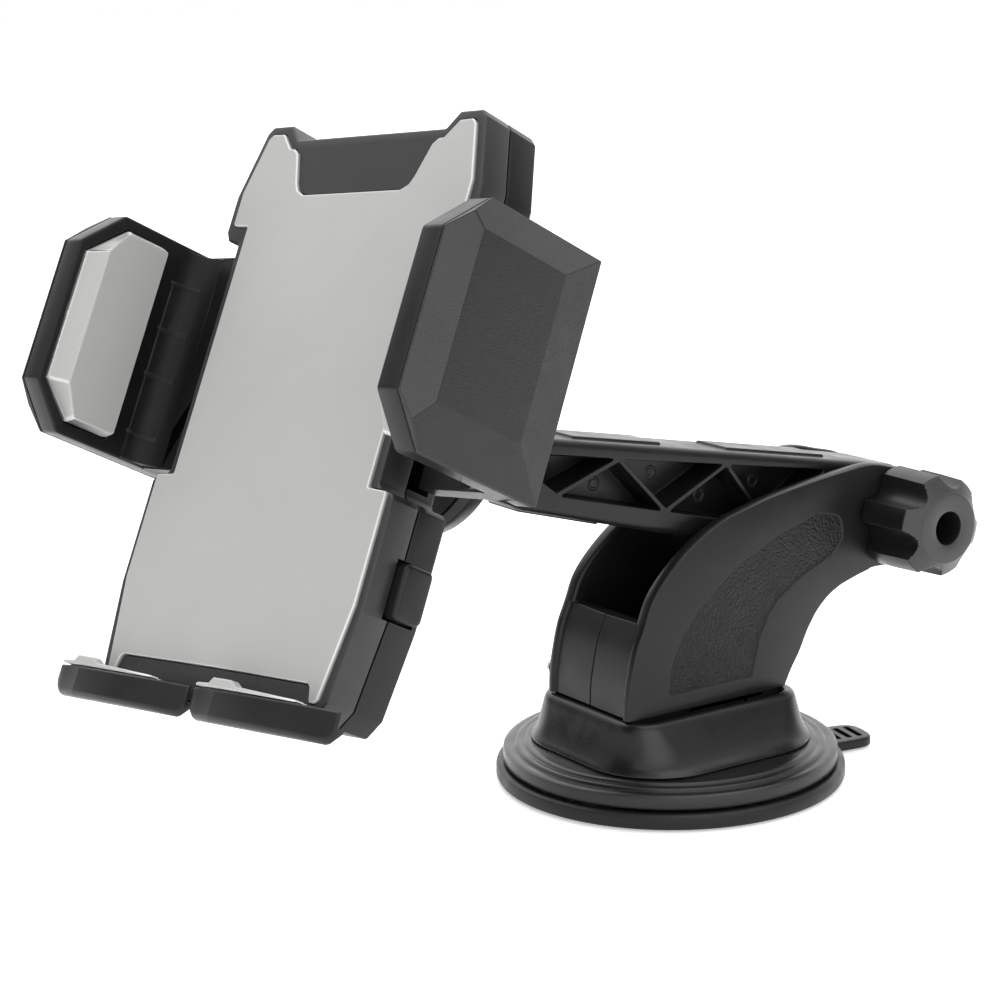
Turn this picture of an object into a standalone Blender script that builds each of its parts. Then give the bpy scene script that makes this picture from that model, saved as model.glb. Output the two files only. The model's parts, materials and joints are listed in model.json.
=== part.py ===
"""Dashboard phone mount: suction base, hollow neck, tapered arm, ball joint and spring cradle.

World frame: metres, +Z up, origin in the middle of the suction pad's underside. The phone side
faces -Y and the clamp knob is on +X. Shapes are drawn in millimetres and scaled when placed.
The cradle has its own frame: origin at the ball centre, x across, y front to back, z up.
"""
import math

import bmesh
import bpy
from mathutils import Matrix, Vector
from mathutils.geometry import tessellate_polygon

MM = 0.001
GAP = 0.3                      # space between neighbouring pieces

# Base
PAD_R = 38.0
PAD_TOP = 3.6
CUP_TOP = 8.4
COLLAR_BOTTOM = 8.7
COLLAR_TOP = 18.8
LEVER_PIVOT = (-20.5, 0.0, 11.6)

# Neck and arm pivot
NECK_HALF = 14.5
NECK_BOTTOM = 19.1
SILL_Z = 38.6
PIVOT = (0.0, 53.0, 52.3)
EYE_R = 10.9
BOLT_R = 2.5
KNOB_START = 14.8
KNOB_END = 30.4
KNOB_R = 11.6

# Arm
ARM_PITCH = 12.36              # degrees above level
ARM_HALF = 9.0
ARM_END = 101.5
RIB_PITCH = 14.4

# Cradle, turned on its ball
BALL = (0.0, -54.58, 75.51)
BALL_R = 6.5
CRADLE_YAW = 7.63
CRADLE_LEAN = -27.76
CRADLE_ROLL = -6.09
FACE_Y = -44.2                 # front of the face pad
LIP_Y = -43.6                  # front of the front shell's rim
FRONT_Y = -42.6                # floor of the recess that holds the face pad
SEAM_Y = -37.0
BACK_Y = -29.5
JAW_IN = 50.0                  # inner plane of an open jaw
JAW_FRONT = -66.3
PINION_R = 4.5
PINION_Z = 8.0
TEETH = 12

BLACK = (0.035, 0.035, 0.037)
SOFT_BLACK = (0.022, 0.022, 0.023)
GREY = (0.48, 0.48, 0.47)
STEEL = (0.62, 0.62, 0.63)
BRASS = (0.72, 0.55, 0.28)
WHITE = (0.75, 0.75, 0.73)

for old in list(bpy.data.objects):
    bpy.data.objects.remove(old, do_unlink=True)


def material(name, colour, rough, metal=0.0):
    """A plain Principled material."""
    made = bpy.data.materials.new(name)
    made.use_nodes = True
    shader = made.node_tree.nodes["Principled BSDF"]
    shader.inputs["Base Color"].default_value = (*colour, 1.0)
    shader.inputs["Roughness"].default_value = rough
    shader.inputs["Metallic"].default_value = metal
    made.diffuse_color = (*colour, 1.0)
    return made


def clean(bm):
    """Outward faces and no loose leftovers."""
    bmesh.ops.remove_doubles(bm, verts=bm.verts, dist=0.0005)
    bmesh.ops.recalc_face_normals(bm, faces=bm.faces)


def place(name, bm, frame, mat, pivot=None, smooth=40.0):
    """Turn a millimetre bmesh into a world object with its origin at pivot (given in that frame)."""
    bm.transform(frame)
    clean(bm)
    for face in bm.faces:
        face.smooth = smooth > 0
    origin = frame @ Vector(pivot if pivot else (0, 0, 0))
    bm.transform(Matrix.Translation(-origin))
    bm.transform(Matrix.Scale(MM, 4))
    mesh = bpy.data.meshes.new(name)
    bm.to_mesh(mesh)
    bm.free()
    if smooth > 0:
        mesh.set_sharp_from_angle(angle=math.radians(smooth))
    mesh.materials.append(mat)
    obj = bpy.data.objects.new(name, mesh)
    obj.location = origin * MM
    bpy.context.scene.collection.objects.link(obj)
    return obj


def loft(rings, close=False):
    """Closed solid through rings of equal length: capped at both ends, or joined into a ring."""
    bm = bmesh.new()
    rows = [[bm.verts.new(p) for p in ring] for ring in rings]
    count = len(rows[0])
    pairs = list(zip(rows, rows[1:]))
    if close:
        pairs.append((rows[-1], rows[0]))
    for low, high in pairs:
        for i in range(count):
            j = (i + 1) % count
            bm.faces.new((low[i], low[j], high[j], high[i]))
    if not close:
        bm.faces.new(rows[0][::-1])
        bm.faces.new(rows[-1])
    return bm


def circle(radius, height, count=24, centre=(0.0, 0.0), phase=0.0):
    """Ring of points in a plane of constant third coordinate."""
    step = 2 * math.pi / count
    return [(centre[0] + radius * math.cos(phase + i * step),
             centre[1] + radius * math.sin(phase + i * step), height) for i in range(count)]


def turned(profile, count=24, close=False, phase=0.0):
    """Solid of revolution about the third axis from (radius, height) pairs."""
    return loft([circle(r, h, count, phase=phase) for r, h in profile], close)


def rounded_rect(half_x, half_y, radius, height, steps=4, shift=(0.0, 0.0)):
    """Rounded rectangle ring in the XY plane."""
    ring = []
    for corner in range(4):
        sign_x = (1, -1, -1, 1)[corner]
        sign_y = (1, 1, -1, -1)[corner]
        cx = sign_x * (half_x - radius) + shift[0]
        cy = sign_y * (half_y - radius) + shift[1]
        for k in range(steps + 1):
            angle = math.radians(90 * (corner + k / steps))
            ring.append((cx + radius * math.cos(angle), cy + radius * math.sin(angle), height))
    return ring


def rounded_outline(points, radius, steps=3):
    """2-D outline with its corners rounded; radius is one number or one per corner."""
    out = []
    count = len(points)
    for i, point in enumerate(points):
        r = radius[i] if isinstance(radius, (list, tuple)) else radius
        here = Vector(point)
        back = Vector(points[i - 1]) - here
        ahead = Vector(points[(i + 1) % count]) - here
        if r <= 0:
            out.append(tuple(here))
            continue
        turn = back.angle(ahead)
        reach = min(r / math.tan(turn / 2), back.length * 0.45, ahead.length * 0.45)
        start = here + back.normalized() * reach
        end = here + ahead.normalized() * reach
        for k in range(steps + 1):
            t = k / steps
            out.append(tuple(start * (1 - t) ** 2 + here * 2 * t * (1 - t) + end * t ** 2))
    return out


def circle2(centre, radius, count=16):
    """2-D circle outline."""
    return [(centre[0] + radius * math.cos(2 * math.pi * i / count),
             centre[1] + radius * math.sin(2 * math.pi * i / count)) for i in range(count)]


def slab(outline, low, high, holes=(), pockets_high=(), pockets_low=()):
    """Plate between two heights with through holes and blind pockets (outline, floor height)."""
    bm = bmesh.new()

    def skin(loops, height):
        rings = [[Vector((x, y, 0)) for x, y in loop] for loop in loops]
        flat = [v for ring in rings for v in ring]
        made = [bm.verts.new((v.x, v.y, height)) for v in flat]
        for tri in tessellate_polygon(rings):
            corners = [made[i] for i in tri]
            if len(set(corners)) == 3:
                bm.faces.new(corners)

    def wall(loop, a, b):
        bottom = [bm.verts.new((x, y, a)) for x, y in loop]
        top = [bm.verts.new((x, y, b)) for x, y in loop]
        for i in range(len(loop)):
            j = (i + 1) % len(loop)
            bm.faces.new((bottom[i], bottom[j], top[j], top[i]))

    skin([outline, *holes, *[p[0] for p in pockets_high]], high)
    skin([outline, *holes, *[p[0] for p in pockets_low]], low)
    wall(outline, low, high)
    for hole in holes:
        wall(hole, low, high)
    for pocket, floor in pockets_high:
        wall(pocket, floor, high)
        skin([pocket], floor)
    for pocket, floor in pockets_low:
        wall(pocket, low, floor)
        skin([pocket], floor)
    return bm


def box(low, high):
    """Plain box."""
    (x0, y0, z0), (x1, y1, z1) = low, high
    return loft([[(x0, y0, z), (x1, y0, z), (x1, y1, z), (x0, y1, z)] for z in (z0, z1)])


def cut(obj, bm, frame=Matrix.Identity(4)):
    """Subtract a millimetre shape from an object with an exact Boolean."""
    name = f"{obj.name}_cut_{len(obj.modifiers) + 1}"
    tool = place(name, bm, frame, obj.data.materials[0], smooth=0)
    tool.hide_render = True
    tool.display_type = "WIRE"
    modifier = obj.modifiers.new(name, "BOOLEAN")
    modifier.operation = "DIFFERENCE"
    modifier.solver = "EXACT"
    modifier.object = tool


def join(obj, bm, frame):
    """Fuse a millimetre shape to an object with an exact Boolean."""
    tool = place(f"{obj.name}_part", bm, frame, obj.data.materials[0], smooth=0)
    tool.hide_render = True
    tool.display_type = "WIRE"
    modifier = obj.modifiers.new(tool.name, "BOOLEAN")
    modifier.operation = "UNION"
    modifier.solver = "EXACT"
    modifier.object = tool


def mirror_x(points):
    """Right-hand outline followed by its mirror image, as one closed outline."""
    left = [(-x, y) for x, y in reversed(points) if abs(x) > 1e-6]
    return list(points) + left


def widen(points, distance):
    """Outline moved outward by a distance, each corner along its mitre."""
    count = len(points)
    area = sum(points[i - 1][0] * points[i][1] - points[i][0] * points[i - 1][1]
               for i in range(count))
    sign = 1 if area > 0 else -1
    moved = []
    for i, point in enumerate(points):
        here = Vector(point)
        back = (here - Vector(points[i - 1])).normalized()
        ahead = (Vector(points[(i + 1) % count]) - here).normalized()
        normals = [Vector((d.y, -d.x)) * sign for d in (back, ahead)]
        mitre = (normals[0] + normals[1]) / (1 + normals[0].dot(normals[1]))
        moved.append(tuple(here + mitre * distance))
    return moved


WORLD = Matrix.Identity(4)
# Axis helpers: a shape drawn as (a, b, height) is stood up along another axis.
ALONG_X = Matrix(((0, 0, 1, 0), (1, 0, 0, 0), (0, 1, 0, 0), (0, 0, 0, 1)))     # a->y b->z h->x
ALONG_Y = Matrix(((1, 0, 0, 0), (0, 0, 1, 0), (0, 1, 0, 0), (0, 0, 0, 1)))     # a->x b->z h->y
CRADLE = (Matrix.Translation(BALL) @ Matrix.Rotation(math.radians(CRADLE_YAW), 4, "Z")
          @ Matrix.Rotation(math.radians(CRADLE_LEAN), 4, "X")
          @ Matrix.Rotation(math.radians(CRADLE_ROLL), 4, "Y"))
pitch = math.radians(ARM_PITCH)
# Arm frame: x along the arm towards the ball, y upward across it, height along world X.
ARM = Matrix.Translation(PIVOT) @ Matrix((
    (0, 0, 1, 0),
    (-math.cos(pitch), math.sin(pitch), 0, 0),
    (math.sin(pitch), math.cos(pitch), 0, 0),
    (0, 0, 0, 1)))

black = material("black_plastic", BLACK, 0.5)
cover_black = material("cover_plastic", BLACK, 0.6)
soft_black = material("soft_black", SOFT_BLACK, 0.45)
grey_pad = material("grey_pad", GREY, 0.6)
steel = material("steel", STEEL, 0.3, 1.0)
brass = material("brass", BRASS, 0.35, 1.0)
nylon = material("nylon", WHITE, 0.5)


def screw(name, frame, head_r, head_h, shank_r, length, mat=steel):
    """Pan-head screw: head from 0 to head_h, shank down to -length, with a hex socket."""
    profile = [(shank_r * 0.6, -length), (shank_r, -length + shank_r * 0.7), (shank_r, 0.0),
               (head_r, 0.0), (head_r, head_h * 0.7), (head_r * 0.8, head_h),
               (head_r * 0.45, head_h), (head_r * 0.45, head_h * 0.45)]
    return place(name, turned(profile, 12), frame, mat)


# ---------------------------------------------------------------- suction base
def pad_outline():
    """Round pad with the peel tab; the tab leans from the back towards the knob side."""
    points = []
    middle = math.radians(78.5)
    half = math.asin(6.0 / PAD_R)
    across = Vector((math.sin(middle), -math.cos(middle)))
    out = Vector((math.cos(middle), math.sin(middle)))
    count = 60
    for i in range(count):
        angle = middle + half + (2 * math.pi - 2 * half) * i / (count - 1)
        points.append((PAD_R * math.cos(angle), PAD_R * math.sin(angle)))
    for reach, side in ((45.5, 6.0), (47.6, 5.2), (48.6, 3.4), (49.0, 1.2)):
        point = out * reach + across * side
        points.append(tuple(point))
    for reach, side in ((49.0, -1.2), (48.6, -3.4), (47.6, -5.2), (45.5, -6.0)):
        point = out * reach + across * side
        points.append(tuple(point))
    slots = []
    for reach in (40.9, 43.4, 45.9):
        corner = [(reach - 0.6, -3.6), (reach - 0.6, 3.6), (reach + 0.6, 3.6), (reach + 0.6, -3.6)]
        slots.append([tuple(out * a + across * b) for a, b in corner])
    return points, slots


outline, slots = pad_outline()
pad_mesh = slab(outline, 0.0, PAD_TOP, holes=slots,
                pockets_high=[(circle2((0, 0), 12.0, 24), 1.2)])
# The tab is thinner than the pad's rim.
for vert in pad_mesh.verts:
    if vert.co.z > 3.0 and vert.co.xy.length > PAD_R + 0.6:
        vert.co.z = 2.4
place("suction_pad", pad_mesh, WORLD, soft_black)

cup_rings = [(36.3, 3.95), (36.4, 6.9), (36.0, 7.2), (34.2, 7.3), (33.9, 7.5), (32.4, 7.6),
             (32.1, 7.9), (30.0, 8.0), (29.8, CUP_TOP), (11.0, CUP_TOP), (11.0, 6.4), (31.5, 6.4),
             (32.5, 3.95)]
base_cup = place("base_cup", turned(cup_rings, 60, close=True), WORLD, black)

collar_rings = [
    rounded_rect(25.6, 27.4, 21.0, COLLAR_BOTTOM),
    rounded_rect(24.2, 26.8, 17.0, 9.6),
    rounded_rect(23.0, 26.1, 12.5, 10.8),
    rounded_rect(19.2, 23.4, 7.0, 17.2),
    rounded_rect(18.6, 22.8, 6.4, 18.2),
    rounded_rect(17.8, 22.0, 5.6, COLLAR_TOP),
    rounded_rect(11.6, 15.6, 1.6, COLLAR_TOP),
    rounded_rect(11.6, 15.6, 1.6, 16.4),
    rounded_rect(15.2, 18.4, 3.0, 16.4),
    rounded_rect(17.4, 19.4, 8.0, COLLAR_BOTTOM)]
collar = place("base_collar", loft(collar_rings, close=True), WORLD, black)
cut(collar, box((-30, -5.4, 8.0), (-12, 5.4, 16.35)))
for side in (-1, 1):
    name = "cup_screw_rear" if side > 0 else "cup_screw_front"
    cut(base_cup, loft([circle(1.3, h, 12, (0, side * 22.7), 0.13) for h in (5.0, 10.0)]))
    cut(collar, loft([circle(1.3, h, 12, (0, side * 22.7), 0.13) for h in (7.5, 14.5)]))
    flip = Matrix.Translation((0, side * 22.7, 6.35)) @ Matrix.Rotation(math.pi, 4, "X")
    screw(name, flip, 2.2, 0.95, 1.1, 7.0)
    cut(collar, loft([circle(1.15, h, 12, (side * 13.0, 10.0), 0.13) for h in (15.0, 20.0)]))

# Lever pin along Y, in a cross hole through the collar's left wall.
pin_frame = Matrix.Translation(LEVER_PIVOT) @ ALONG_Y
cut(collar, turned([(1.3, -8.3), (1.3, 8.3)], 16), pin_frame)
place("lever_pin", turned([(1.0, -8.0), (1.2, -7.8), (1.2, 7.8), (1.0, 8.0)], 16), pin_frame, steel)

lever = [(2.9 * math.cos(math.radians(a)), 2.9 * math.sin(math.radians(a)))
         for a in range(-90, 111, 20)]
lever += [(1.8 * math.cos(math.radians(a)), 1.8 * math.sin(math.radians(a))) for a in (135, 165)]
lever += [(-3.4, -0.9), (-15.5, -0.9), (-17.6, -0.2), (-18.4, -1.2), (-17.0, -3.0), (-2.0, -2.85)]
lever_mesh = slab(lever, -5.1, 5.1, holes=[circle2((0, 0), 1.28, 16)])
place("lock_lever", lever_mesh, pin_frame, black)

stem = loft([circle(11.3, 2.7, 20), circle(11.3, 3.9, 20), circle(2.5, 3.9, 20),
             circle(2.5, 14.75, 20), rounded_rect(12.65, 3.1, 1.0, 14.75, 4, (-5.65, 0)),
             rounded_rect(12.65, 3.1, 1.0, 16.1, 4, (-5.65, 0))])
place("pad_stem", stem, WORLD, steel)

# ---------------------------------------------------------------- neck halves
FRONT = [(-22.3, NECK_BOTTOM), (-22.1, 23.5), (-21.3, 28.4), (-19.9, 34.0), (-17.9, SILL_Z),
         (-17.8, SILL_Z + 0.25), (-15.3, 44.5), (-10.3, 50.0), (-3.6, 55.0), (5.0, 59.0), (15.0, 61.4),
         (27.0, 63.3), (37.5, 64.5), (45.3, 65.0), (53.0, 63.2), (58.5, 61.7), (62.0, 58.4),
         (63.8, 54.0)]
REAR = [(20.8, NECK_BOTTOM), (22.6, 22.5), (25.0, 26.2), (27.2, 30.5), (29.3, 33.6),
        (29.5, 33.9), (31.4, 35.8), (33.4, 37.3), (35.4, 38.4), (37.4, 39.2), (39.6, 39.8),
        (42.0, 40.4), (44.3, 40.9), (46.5, 41.4), (53.0, 41.4), (58.5, 42.9), (62.0, 46.2),
        (63.8, 50.6)]
FRONT_WALL = [4.5, 4.5, 4.5, 4.5, 4.5] + [2.4] * 9 + [1.0] * 4
REAR_WALL = [4.5] * 10 + [3.0, 3.0, 2.6, 1.5] + [1.0] * 4
SEAM_X = GAP / 2
LIP_X = 11.2
PLATE_X = 11.5
FRONT_EDGE = [SEAM_X] * 5 + [LIP_X] * 13
REAR_EDGE = [SEAM_X] * 10 + [LIP_X] * 8


def neck_ring(index, side):
    """Cross-section of one neck half: front wall, side plate and rear wall."""
    front = Vector(FRONT[index])
    rear = Vector(REAR[index])
    along = (rear - front).normalized()
    front_in = front + along * FRONT_WALL[index]
    rear_in = rear - along * REAR_WALL[index]
    path = [(FRONT_EDGE[index], front), (NECK_HALF, front), (NECK_HALF, rear),
            (REAR_EDGE[index], rear), (REAR_EDGE[index], rear_in), (PLATE_X, rear_in),
            (PLATE_X, front_in), (FRONT_EDGE[index], front_in)]
    return [(side * x, p.x, p.y) for x, p in path]


NECK_SCREWS = {"lower": (-19.7, 24.0), "middle": (22.9, 26.4), "upper": (35.0, 40.3)}
halves = {}
for side, name in ((-1, "neck_left_half"), (1, "neck_right_half")):
    rings = [neck_ring(i, side) for i in range(len(FRONT))]
    halves[side] = place(name, loft(rings), WORLD, black, smooth=25)
    cut(halves[side], turned([(2.62, side * 10), (2.62, side * 16)], 24),
        Matrix.Translation(PIVOT) @ ALONG_X)
    cut(halves[side], loft([circle(1.0, h, 12, (side * 13.0, 10.0), 0.13) for h in (18.0, 26.0)]))
    for y, z in NECK_SCREWS.values():
        spot = Matrix.Translation((0, y, z)) @ ALONG_X
        low, high = (-15.0, 1.0) if side < 0 else (-1.0, 9.0)
        cut(halves[side], turned([(1.15, low), (1.15, high)], 12), spot)
    foot = Matrix.Translation((side * 13.0, 10.0, 16.2)) @ Matrix.Rotation(math.pi, 4, "X")
    screw("neck_foot_screw_left" if side < 0 else "neck_foot_screw_right",
          foot, 1.8, 1.4, 0.8, 9.0)
for label, (y, z) in NECK_SCREWS.items():
    head = Matrix.Translation((-NECK_HALF - 0.15, y, z)) @ ALONG_X @ Matrix.Rotation(math.pi, 4, "X")
    screw(f"neck_screw_{label}", head, 2.0, 1.0, 0.95, 22.5)

# ---------------------------------------------------------------- pivot and clamp knob
pivot_frame = Matrix.Translation(PIVOT) @ ALONG_X
bolt = [(1.9, 20.0), (BOLT_R, 19.4), (BOLT_R, -14.8), (6.0, -14.8), (6.0, -16.6), (5.2, -17.4),
        (2.4, -17.4), (2.4, -15.8)]
place("pivot_bolt", turned(bolt[::-1], 24), pivot_frame, steel)
for side, name in ((-1, "friction_washer_left"), (1, "friction_washer_right")):
    ring = [(2.7, 9.25), (8.0, 9.25), (8.0, 11.2), (2.7, 11.2)]
    place(name, turned([(r, side * h) for r, h in ring], 24, close=True), pivot_frame, nylon)
insert = [(2.62, 15.1), (4.1, 15.1), (4.1, 20.3), (2.62, 20.3)]
place("knob_insert", turned(insert, 24, close=True), pivot_frame, brass)


KNOB_PHASE = math.radians(15.0)


def knob_ring(height, radius, depth, count=72):
    """Six broad lobes parted by six scooped flutes, each 34 degrees wide."""
    ring = []
    for i in range(count):
        angle = 2 * math.pi * i / count
        off = (math.degrees(angle) + 30) % 60 - 30
        scoop = 0.5 + 0.5 * math.cos(2 * math.pi * off / 34) if abs(off) < 17 else 0.0
        r = radius - depth * scoop
        turned_by = angle + KNOB_PHASE
        ring.append((r * math.cos(turned_by), r * math.sin(turned_by), height))
    return ring


def knob_circle(radius, height):
    """Plain ring that lines up with the fluted ones."""
    return circle(radius, height, 72, phase=KNOB_PHASE)


knob = loft([knob_circle(4.35, 20.8), knob_circle(4.35, KNOB_START),
             knob_ring(KNOB_START, KNOB_R, 2.6), knob_ring(27.2, KNOB_R - 0.5, 2.4),
             knob_circle(8.0, KNOB_END), knob_circle(3.6, KNOB_END), knob_circle(3.4, 22.6)])
place("pivot_knob", knob, pivot_frame, black)


# ---------------------------------------------------------------- arm
def arm_top(s):
    return 10.7 - 0.0284 * s


def arm_bottom(s):
    return -11.1 + 0.0593 * max(0.0, s - 30.0)


eye = [(EYE_R * math.cos(math.radians(a)), EYE_R * math.sin(math.radians(a)))
       for a in range(270, 89, -15)]
eye = [(x * 0.985, y * 0.985) for x, y in eye]
arm_outline = eye + [(s, arm_top(s)) for s in (12.0, 40.0, 70.0, 96.0)]
arm_outline += [(100.5, 7.0), (ARM_END, 5.4), (ARM_END, -4.6), (100.5, -6.2)]
arm_outline += [(s, arm_bottom(s)) for s in (97.0, 85.0, 72.0, 58.0, 44.0, 30.0, 12.0)]
WINDOW_END = 94.5


def window(s, upper):
    """Inner edge of the top or bottom flange."""
    return 6.7 - 0.0426 * (s - 46) if upper else -5.0 + 0.0375 * (s - 46)


def arm_pockets():
    """Triangular pockets between the zig-zag ribs, alternating point down and point up."""
    nodes = [17.9 + RIB_PITCH * k for k in range(7)]
    found = []
    for k in range(5):
        upper = k % 2 == 0
        sign = 1 if upper else -1
        first, mid, last = nodes[k:k + 3]
        left = (first + 0.8, window(first, upper))
        tip = (mid, window(mid, not upper) + sign * 0.65)
        if last < WINDOW_END:
            found.append([left, (last - 0.8, window(last, upper)), tip])
            continue
        part = (WINDOW_END - mid) / (last - mid)
        low = window(mid, not upper) + sign * 0.65
        high = window(last, upper)
        found.append([left, (WINDOW_END, window(WINDOW_END, upper)),
                      (WINDOW_END, low + (high - low) * part), tip])
    return found


pockets = arm_pockets()
both = {"pockets_high": [(p, 1.4) for p in pockets], "pockets_low": [(p, -1.4) for p in pockets]}
arm = slab(arm_outline, -ARM_HALF, ARM_HALF, holes=[circle2((0, 0), 2.62, 24)], **both)
arm_obj = place("arm_beam", arm, ARM, black)
cut(arm_obj, turned([(3.1, 95.0), (3.1, 104.0)], 16),
    ARM @ Matrix(((0, 0, 1, 0), (0, 1, 0, -0.36), (1, 0, 0, 0), (0, 0, 0, 1))))
stud_frame = ARM @ Matrix(((0, 0, 1, 110.06), (0, 1, 0, -0.36), (1, 0, 0, 0), (0, 0, 0, 1)))
ball = [(BALL_R * math.sin(math.radians(a)), BALL_R * math.cos(math.radians(a)))
        for a in range(8, 153, 12)]
place("ball_stud", turned(ball + [(2.8, -6.3), (2.8, -14.8)], 24), stud_frame, steel)

# ---------------------------------------------------------------- ball joint
ball_axis = CRADLE @ ALONG_Y


def cup_shell(inner, outer, first, last, steps):
    """Part of a spherical shell around the ball, opening towards the arm."""
    angles = [math.radians(first + (last - first) * i / steps) for i in range(steps + 1)]
    ring = [(outer * math.sin(a), -outer * math.cos(a)) for a in angles]
    ring += [(inner * math.sin(a), -inner * math.cos(a)) for a in reversed(angles)]
    return turned(ring, 24, close=True)


place("ball_liner_inner", cup_shell(6.66, 7.12, 14, 52, 4), ball_axis, nylon)
place("ball_liner_outer", cup_shell(7.34, 7.85, 12, 60, 4), ball_axis, nylon)

housing = [(14.5, -12.5), (19.5, -29.0), (23.5, -29.0), (21.6, -26.5), (17.3, -10.0),
           (11.4, -10.0), (11.4, -1.6), (8.15, -1.6)]
housing += [(8.15 * math.sin(math.radians(a)), -8.15 * math.cos(math.radians(a)))
            for a in (75, 60, 45, 30, 12)]
socket = place("socket_housing", turned(housing, 32), ball_axis, black)

nut = [(17.3, -9.6), (17.6, -7.2), (14.9, -1.9), (7.3, 3.6), (6.5, 4.2), (5.4, 4.2), (5.4, 3.9),
       (6.25, 2.4), (6.7, 0.8), (6.9, -1.2), (11.6, -1.2), (11.6, -9.6)]
place("ball_nut", turned(nut, 32, close=True), ball_axis, black)

# ---------------------------------------------------------------- cradle shells
SHELL = mirror_x([(0, 52.7), (21.5, 52.7), (24.4, 56.0), (30.4, 56.0), (31.8, 54.6), (35.6, 41.0),
                  (35.6, 33.2), (34.4, 31.4), (30.8, 30.6), (30.8, -16.4), (31.6, -17.6),
                  (34.8, -18.2), (35.6, -19.2), (35.6, -40.0), (33.4, -56.8), (30.6, -60.3),
                  (0, -60.3)])
CAVITY = mirror_x([(0, 43.0), (32.0, 43.0), (33.4, 40.4), (33.4, 33.6), (28.4, 32.4),
                   (28.4, -18.8), (33.4, -20.4), (33.4, -42.6), (32.4, -45.0), (23.0, -46.5),
                   (22.0, -58.0), (0, -58.0)])
SCREWS = [(26.5, 48.5), (-26.5, 48.5), (27.5, -51.5), (-27.5, -51.5)]
FACE = mirror_x([(0, 40.4), (14.2, 40.4), (16.2, 41.4), (17.2, 43.0), (19.6, 49.4), (21.0, 50.5),
                 (22.4, 50.6), (25.6, 53.9), (29.0, 54.0), (30.1, 53.0), (33.4, 41.6),
                 (33.4, 34.9), (32.9, 34.4), (28.7, 34.2), (28.7, -17.6), (33.6, -18.0),
                 (33.9, -18.5), (33.9, -39.0), (31.2, -56.6), (30.4, -57.3), (29.0, -57.3),
                 (28.2, -54.6), (27.4, -54.0), (14.6, -54.0), (13.6, -53.3), (0, -53.3)])
RECESS = widen(FACE, 0.3)
face_frame = CRADLE @ ALONG_Y
place("face_pad", slab(FACE, FACE_Y, FRONT_Y - GAP), face_frame, grey_pad)

sockets = [(circle2(p, 1.35, 12), -41.2) for p in SCREWS]
front = slab(SHELL, LIP_Y, SEAM_Y, pockets_high=[(CAVITY, -40.6), *sockets],
             pockets_low=[(RECESS, FRONT_Y)])
front_shell = place("front_shell", front, face_frame, black)
rear = slab(SHELL, SEAM_Y + GAP, BACK_Y, pockets_low=[(CAVITY, -31.5)],
            holes=[circle2(p, 1.35, 12) for p in SCREWS])
rear_shell = place("rear_shell", rear, face_frame, black)
cut(rear_shell, box((-60, -37.5, -15.4), (60, -31.6, 31.4)), CRADLE)
for side in (-1, 1):
    gap = sorted((side * 30.0, side * 40.0))
    for shell in (front_shell, rear_shell):
        cut(shell, box((gap[0], -38.6, -39.9), (gap[1], -31.0, -28.7)), CRADLE)
    bar = sorted((side * 5.3, side * 16.7))
    track = [(-41.6, -62.0), (-39.5, -62.0), (-39.5, -57.2), (-40.1, -57.2), (-40.1, -28.0),
             (-41.6, -28.0)]
    cut(front_shell, slab(track, *bar), CRADLE @ ALONG_X)
for i, (x, z) in enumerate(SCREWS):
    spot = CRADLE @ Matrix.Translation((x, BACK_Y + 0.15, z)) @ ALONG_Y
    screw(f"shell_screw_{i + 1}", spot, 2.4, 1.4, 1.15, 11.0)

# ---------------------------------------------------------------- jaws and their drive
HEX = [(JAW_FRONT, 22.8), (-57.8, 31.4), (-28.8, 31.4), (-28.8, -15.0), (-58.6, -15.0),
       (JAW_FRONT, -6.4)]
COVER_RIM = [(*HEX[0], 55.9), (-61.78, 27.37, 56.95), (*HEX[1], 55.9), (*HEX[2], 55.9),
             (*HEX[3], 55.9), (*HEX[4], 55.9), (-62.6, -10.54, 56.76), (*HEX[5], 55.9)]
FACET = [(-59.0, 24.9), (-38.0, 24.9), (-38.0, -6.2), (-59.0, -6.2)]
PAD_BASE = [(-64.4, 21.1), (-56.4, 28.6), (-47.2, 28.6), (-47.2, -12.2), (-57.6, -12.2),
            (-64.4, -5.4)]
PAD_FACE = [(-61.9, 22.2), (-58.6, 27.2), (-48.4, 27.2), (-48.4, -11.9), (-58.5, -11.9),
            (-61.9, -5.6)]
RACK_PITCH = 2 * math.pi * PINION_R / TEETH
CARRIAGE = (-36.4, -31.9)      # front and back of the sliding carriages
RACK_REACH = 2.0


def carriage(upper):
    """Carriage and toothed rack of the left jaw, as an outline in x and z."""
    flip = 1 if upper else -1
    tip = PINION_Z + flip * (PINION_R - 0.75)
    root = PINION_Z + flip * (PINION_R + 1.0)
    back = PINION_Z + flip * (PINION_R + 5.0)
    teeth = []
    for k in range(9):
        x = RACK_REACH - 0.82 - k * RACK_PITCH
        teeth += [(x + 0.72, root), (x + 0.26, tip), (x - 0.26, tip), (x - 0.72, root)]
    points = [(RACK_REACH, back), (RACK_REACH, root), *teeth, (-33.0, root)]
    if upper:
        points += [(-33.0, -15.0), (-50.6, -15.0), (-50.6, 31.0), (-33.0, 31.0), (-33.0, back)]
    else:
        points += [(-33.0, 31.0), (-50.6, 31.0), (-50.6, -15.0), (-33.0, -15.0), (-33.0, back)]
    return points


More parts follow.
